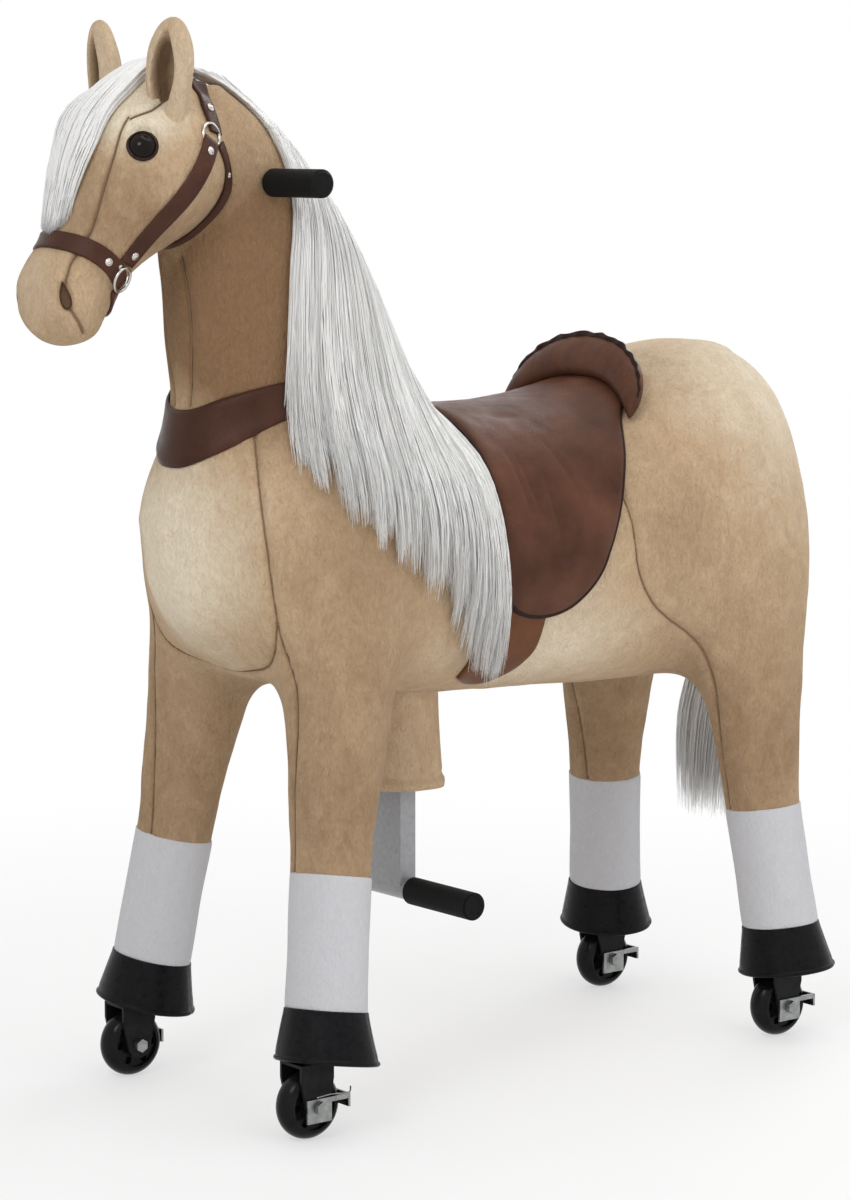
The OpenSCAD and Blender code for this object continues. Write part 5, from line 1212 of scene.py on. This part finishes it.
def mane_hairs(locks, hairs, low, high, thin, tufts):
    """Hairs in locks, and locks in tufts that come to points of unlike lengths."""
    paths, widths = [], []
    for lock in range(locks):
        u0 = (lock + rng.uniform(0, 1)) / locks
        reach0, phase, lift0 = 1 - 0.14 * rng.uniform() ** 1.6, rng.uniform(0, 6.28), rng.uniform(low, high)
        tuft = min(int(u0 * tufts), tufts - 1)
        off = (tuft + 0.5) / tufts - u0
        reach0 = min(1, reach0 * (1.0 + 0.07 * math.sin(tuft * 2.4 + tufts) - 0.12 * (2 * off * tufts) ** 2))
        for _ in range(hairs):
            paths.append(mane_path(np.clip(u0 + rng.normal(0, 0.003), 0, 1), rng.normal(0, 0.016),
                                   lift0 + rng.uniform(-1, 1) * 0.0022, phase + rng.normal(0, 0.25),
                                   reach0 * rng.uniform(0.94, 1.0), 1.0, 0.6 * off))
            widths.append(rng.uniform(0.0008, 0.0015) * thin)
    return np.array(paths), widths


OUTWARD = unit(np.array([0, 1, 0.25]))
for name, *hair in (("mane_hair", 150, 13, 0.007, 0.016, 1, 25), ("mane_hair_inner", 195, 10, 0.003, 0.010, 1.15, 19),
                    ("mane_hair_fine", 485, 4, 0.006, 0.018, 0.62, 25)):
    mane = hair_piece(name, *strands(*mane_hairs(*hair), OUTWARD))
    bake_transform(mane)
    if name == "mane_hair":
        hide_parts("mane_crest", "mane_fall")

under_o, under_i = [], []
for u in np.linspace(0.0, 1.0, 120):
    wave = 0.0020 * math.sin(u * 150) + 0.0015 * math.sin(u * 410)
    reach = 0.65 + 0.05 * math.sin(u * 97) + 0.04 * math.sin(u * 231)
    under_o.append(mane_path(u, 0.0, 0.0055 + wave, 0.0, reach, 0.0))
    under_i.append(mane_path(u, 0.0, 0.0012, 0.0, reach, 0.0))
under = piece("mane_under", *sheet_mesh(np.array(under_o), np.array(under_i)), HAIR)
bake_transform(under)

# Forelock, narrower on its left side
NEAR_SIDE = 0.72
paths, widths = [], []
for k in range(620):
    f = rng.uniform(-1, 1)
    near = NEAR_SIDE if f > 0 else 1.0
    a0, a1, a2 = 92 - 26 * f * near, 93 - 36 * f * near, 95 - 30 * f * near
    end = 0.732 - 0.045 * abs(f) ** 1.5 - 0.035 * rng.uniform()
    rows = smooth([(0.03, 90 - 20 * f * near), (0.2, (a0 + a1) / 2), (0.34, a1),
                   (0.5, a1 * 0.5 + a2 * 0.5 + rng.normal(0, 2)), (end, a2 + rng.normal(0, 2))], 4)
    paths.append(np.array([head_point(s, a) for s, a in rows]))
    widths.append(rng.uniform(0.0010, 0.0019))
paths = np.array(paths)
along = np.linspace(0, 1, paths.shape[1])
lifts = (0.0025 + 0.0075 * rng.uniform(size=len(paths)) ** 0.9)[:, None]
lifts = (lifts * np.interp(along, [0, 0.25, 0.75, 1], [1.1, 1.25, 1, 0.45])[None]
         + np.interp(along, [0, 0.3], [0.004, 0])[None])
p, n = on_skin(paths, lifts, 4)
wear(hair_piece("forelock_strands", *strands(p, widths, n)), "steering", "hair_white", "forelock_hair")

grid = []
LOCK_AT = [0.06, 0.2, 0.34, 0.5, 0.68]
for s_ in np.linspace(0.06, 0.665, 60):
    f = np.linspace(-1, 1, 40)
    mid, half = (np.interp(s_, LOCK_AT, values) for values in ([91, 92.5, 93, 94, 95], [20, 30, 35, 32, 28]))
    reach = 1 - 0.10 * np.abs(f) - 0.03 * np.abs(np.sin(9 * f + 1)) * (s_ > 0.5)
    grid.append([head_point(0.06 + (s_ - 0.06) * r_, mid - half * f_ * (NEAR_SIDE if f_ > 0 else 1))
                 for f_, r_ in zip(f, reach)])
grid = np.array(grid)
wave = 0.0008 * np.sin(np.linspace(0, 90, 40))[None, :] + 0.0005 * np.sin(np.linspace(0, 217, 40))[None, :]
under_o, under_n = on_skin(grid, np.broadcast_to(0.0030 + wave, grid.shape[:2]), 4)
wear(piece("forelock_under", *sheet_mesh(under_o, under_o - under_n * 0.0022), HAIR), "steering", "hair_white")

# Tail
# The tail's line: share of its length, how far back and how far to the left, as shares of its half sizes
TAIL = smooth([[0, -2.0, 0], [0.06, -1.4, 0], [0.16, -0.6, -0.15], [0.42, 0.1, -0.9], [0.75, 0.2, -1.5],
               [1, 0.1, -1.6]], 4)
TAIL_X, TAIL_Y, TAIL_TOP, TAIL_H, TAIL_BACK = 0.020, 0.052, 0.628, 0.435, 0.026
paths, widths = [], []
for k in range(1300):
    r, a = math.sqrt(rng.uniform()), rng.uniform(0, 2 * math.pi)
    reach = rng.uniform(0.82, 1.0)
    t = TAIL[:, 0] * reach
    back, side_ = at(TAIL, t)
    size = np.interp(t, [0, 0.06, 0.16, 0.42, 0.75, 1], [0.16, 0.24, 0.55, 0.95, 1.05, 0.85])
    c = np.column_stack([BODY_BACK_X - TAIL_BACK - back * TAIL_X, side_ * TAIL_Y, TAIL_TOP - t * TAIL_H])
    wob = 0.004 * np.sin(5 * t + rng.uniform(0, 6.28)) * t
    c[:, 0] += np.minimum(size * 1.2, 1) * TAIL_X * r * math.cos(a) + wob + 0.05 * np.clip(1 - t / 0.10, 0, 1)
    c[:, 1] += size * TAIL_Y * r * math.sin(a) + wob - 0.030 * np.clip((t - 0.2) / 0.5, 0, 1)
    paths.append(c)
    widths.append(rng.uniform(0.0010, 0.0020))
paths = np.array(paths)
flat_p = paths.reshape(-1, 3)
push = np.clip(0.003 - plush_at(flat_p), 0, 0.02) * (np.tile(TAIL[:, 0], len(paths)) > 0.12)
flat_p = flat_p + plush_normal(flat_p) * push[:, None]
# the tail's hair material is painted paler than the mane's: painted light
wear(hair_piece("tail_strands", *strands(flat_p.reshape(paths.shape), widths, unit(np.array([-1, 0.4, 0]))),
                TAIL_HAIR_BRIGHTENED), "torso", "hair_white", "tail_hair")

rings = []
a = turns(72)
for t in np.linspace(0.10, 0.84, 40):
    back, side_ = at(TAIL, t)
    size = np.interp(t, [0, 0.06, 0.16, 0.42, 0.75, 0.84], [0.16, 0.24, 0.50, 0.80, 0.82, 0.35])
    ripple = 1 + 0.06 * np.sin(17 * a + 3 * t) + 0.05 * np.sin(29 * a)
    x = BODY_BACK_X - TAIL_BACK - back * TAIL_X + min(size * 1.2, 1) * TAIL_X * 0.8 * ripple * np.cos(a)
    y = side_ * TAIL_Y + size * TAIL_Y * ripple * np.sin(a) - 0.030 * np.clip((t - 0.2) / 0.5, 0, 1)
    c = np.column_stack([x, y, np.full(len(a), TAIL_TOP - t * TAIL_H)])
    push = np.clip(0.001 - plush_at(c), 0, 0.02)
    rings.append(c + plush_normal(c) * push[:, None])
# the core uses the tail's paler hair material: painted light
wear(piece("tail_under", *skin(rings), TAIL_HAIR_BRIGHTENED), "torso", "hair_white")

# Plugs in the ends of the pedal's cross tube
low, high = (np.array(c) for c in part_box("pedal_grips"))
mid = (low + high) / 2
plugs = []
for side in SIDES:
    a = turns(40)
    rows = [(0.0087, -0.008), (0.0087, 0.0002), (0.0128, 0.0002), (0.0133, 0.0007), (0.0129, 0.0014),
            (0.0116, 0.0017), (0.0100, 0.0013), (0.0090, 0.0006), (0.0015, 0.0005)]
    plugs.append(skin([np.column_stack([mid[0] + r * np.cos(a), np.full(40, (high[1] + h) * side),
                                        mid[2] + r * np.sin(a) * side]) for r, h in rows]))
wear(piece("pedal_plugs", *join(plugs), FOAM), "pedal", "foam_black")

# Thin wire spring of the front left pawl, on the fork's outside
face, x0 = AXLE_Y[0] + 0.0245, AXLE_X[0]
pts = smooth([(x0 + 0.006, face, 0.047), (x0 - 0.010, face + 0.001, 0.0485), (x0 - 0.026, face + 0.0015, 0.047),
              (x0 - 0.036, face - 0.002, 0.046), (x0 - 0.040, face - 0.006, 0.050)], 5)
wear(piece("pawl_wire_front_left", *tube(pts, 0.0008, 6), ZINC), "front_legs", "zinc_steel")


# Floor, light and camera
def seen_by(nt):
    """Rays to which the floor and the world are plain white: the camera's, and those in metal and glass."""
    ray = new(nt, "LightPath").outputs
    return math_node(nt, "MAXIMUM", math_node(nt, "MAXIMUM", ray["Is Camera Ray"], ray["Is Glossy Ray"]),
                     ray["Is Transmission Ray"])


def shader_mix(nt, *values):
    m = new(nt, "MixShader")
    for socket, val in zip(m.inputs, values):
        feed(nt, socket, val)
    return m.outputs[0]


bpy.ops.mesh.primitive_plane_add(size=40, location=(0, 0, 0))
floor = bpy.context.object
floor.name = "floor"
m, nt, b, where = nodes_of("floor_mat")
put(nt, b, Base_Color=ramp(nt, tex(nt, where, 3.0), [(0.3, 0.90), (0.7, 0.92)]), Roughness=0.6, Specular_IOR_Level=0.2)
far_off = new(nt, "VectorMath")
far_off.operation = "LENGTH"
feed(nt, far_off.inputs[0], where)
fade = new(nt, "MapRange")
fade.interpolation_type = "SMOOTHSTEP"
put(nt, fade, From_Min=0.5, From_Max=1.7, To_Min=0.55, Value=far_off.outputs["Value"])
glow = new(nt, "Emission", Color=(1, 1, 1))
white = math_node(nt, "MULTIPLY", fade.outputs["Result"], seen_by(nt))
put(nt, nt.nodes["Material Output"], Surface=shader_mix(nt, white, b.outputs[0], glow.outputs[0]))
floor.data.materials.append(m)

world = bpy.data.worlds.new("studio")
bpy.context.scene.world = world
world.use_nodes = True
nt = world.node_tree
back = put(nt, nt.nodes["Background"], Color=(1, 1, 1), Strength=0.58)
seen = new(nt, "Background", Color=(1, 1, 1), Strength=1.0)
put(nt, nt.nodes["World Output"], Surface=shader_mix(nt, seen_by(nt), back.outputs[0], seen.outputs[0]))


def lamp(name, place, target, size, power, shine=True):
    data = bpy.data.lights.new(name, "AREA")
    data.shape, data.size, data.energy = "DISK", size, power
    o = bpy.data.objects.new(name, data)
    o.location = place
    o.visible_glossy = shine
    o.rotation_euler = (Vector(target) - Vector(place)).to_track_quat("-Z", "Y").to_euler()
    bpy.context.scene.collection.objects.link(o)


lamp("key", (2.4, 1.4, 2.6), (0, 0, 0.5), 1.3, 26)
lamp("fill", (0.2, 3.2, 1.6), (0, 0, 0.5), 2.2, 12, False)
lamp("low", (-1.2, 2.8, 0.55), (-0.42, -0.05, 0.4), 1.0, 9, False)
lamp("top", (-0.5, 0.3, 3.0), (0, 0, 0.4), 2.2, 19)
lamp("rim", (-2.6, -1.2, 2.0), (0, 0, 0.6), 1.6, 18)

cam = bpy.data.cameras.new("camera")
cam.sensor_fit = "AUTO"
cam.sensor_width = 36
cam.lens = 109.0
eye = bpy.data.objects.new("camera", cam)
yaw, pitch = math.radians(-128.514), math.radians(-7.467)
look = Vector((math.cos(pitch) * math.cos(yaw), math.cos(pitch) * math.sin(yaw), math.sin(pitch)))
eye.location = (2.3895, 2.9708, 0.9973)
eye.rotation_euler = look.to_track_quat("-Z", "Y").to_euler()
bpy.context.scene.collection.objects.link(eye)
bpy.context.scene.camera = eye
bpy.context.scene.view_settings.view_transform = "Standard"
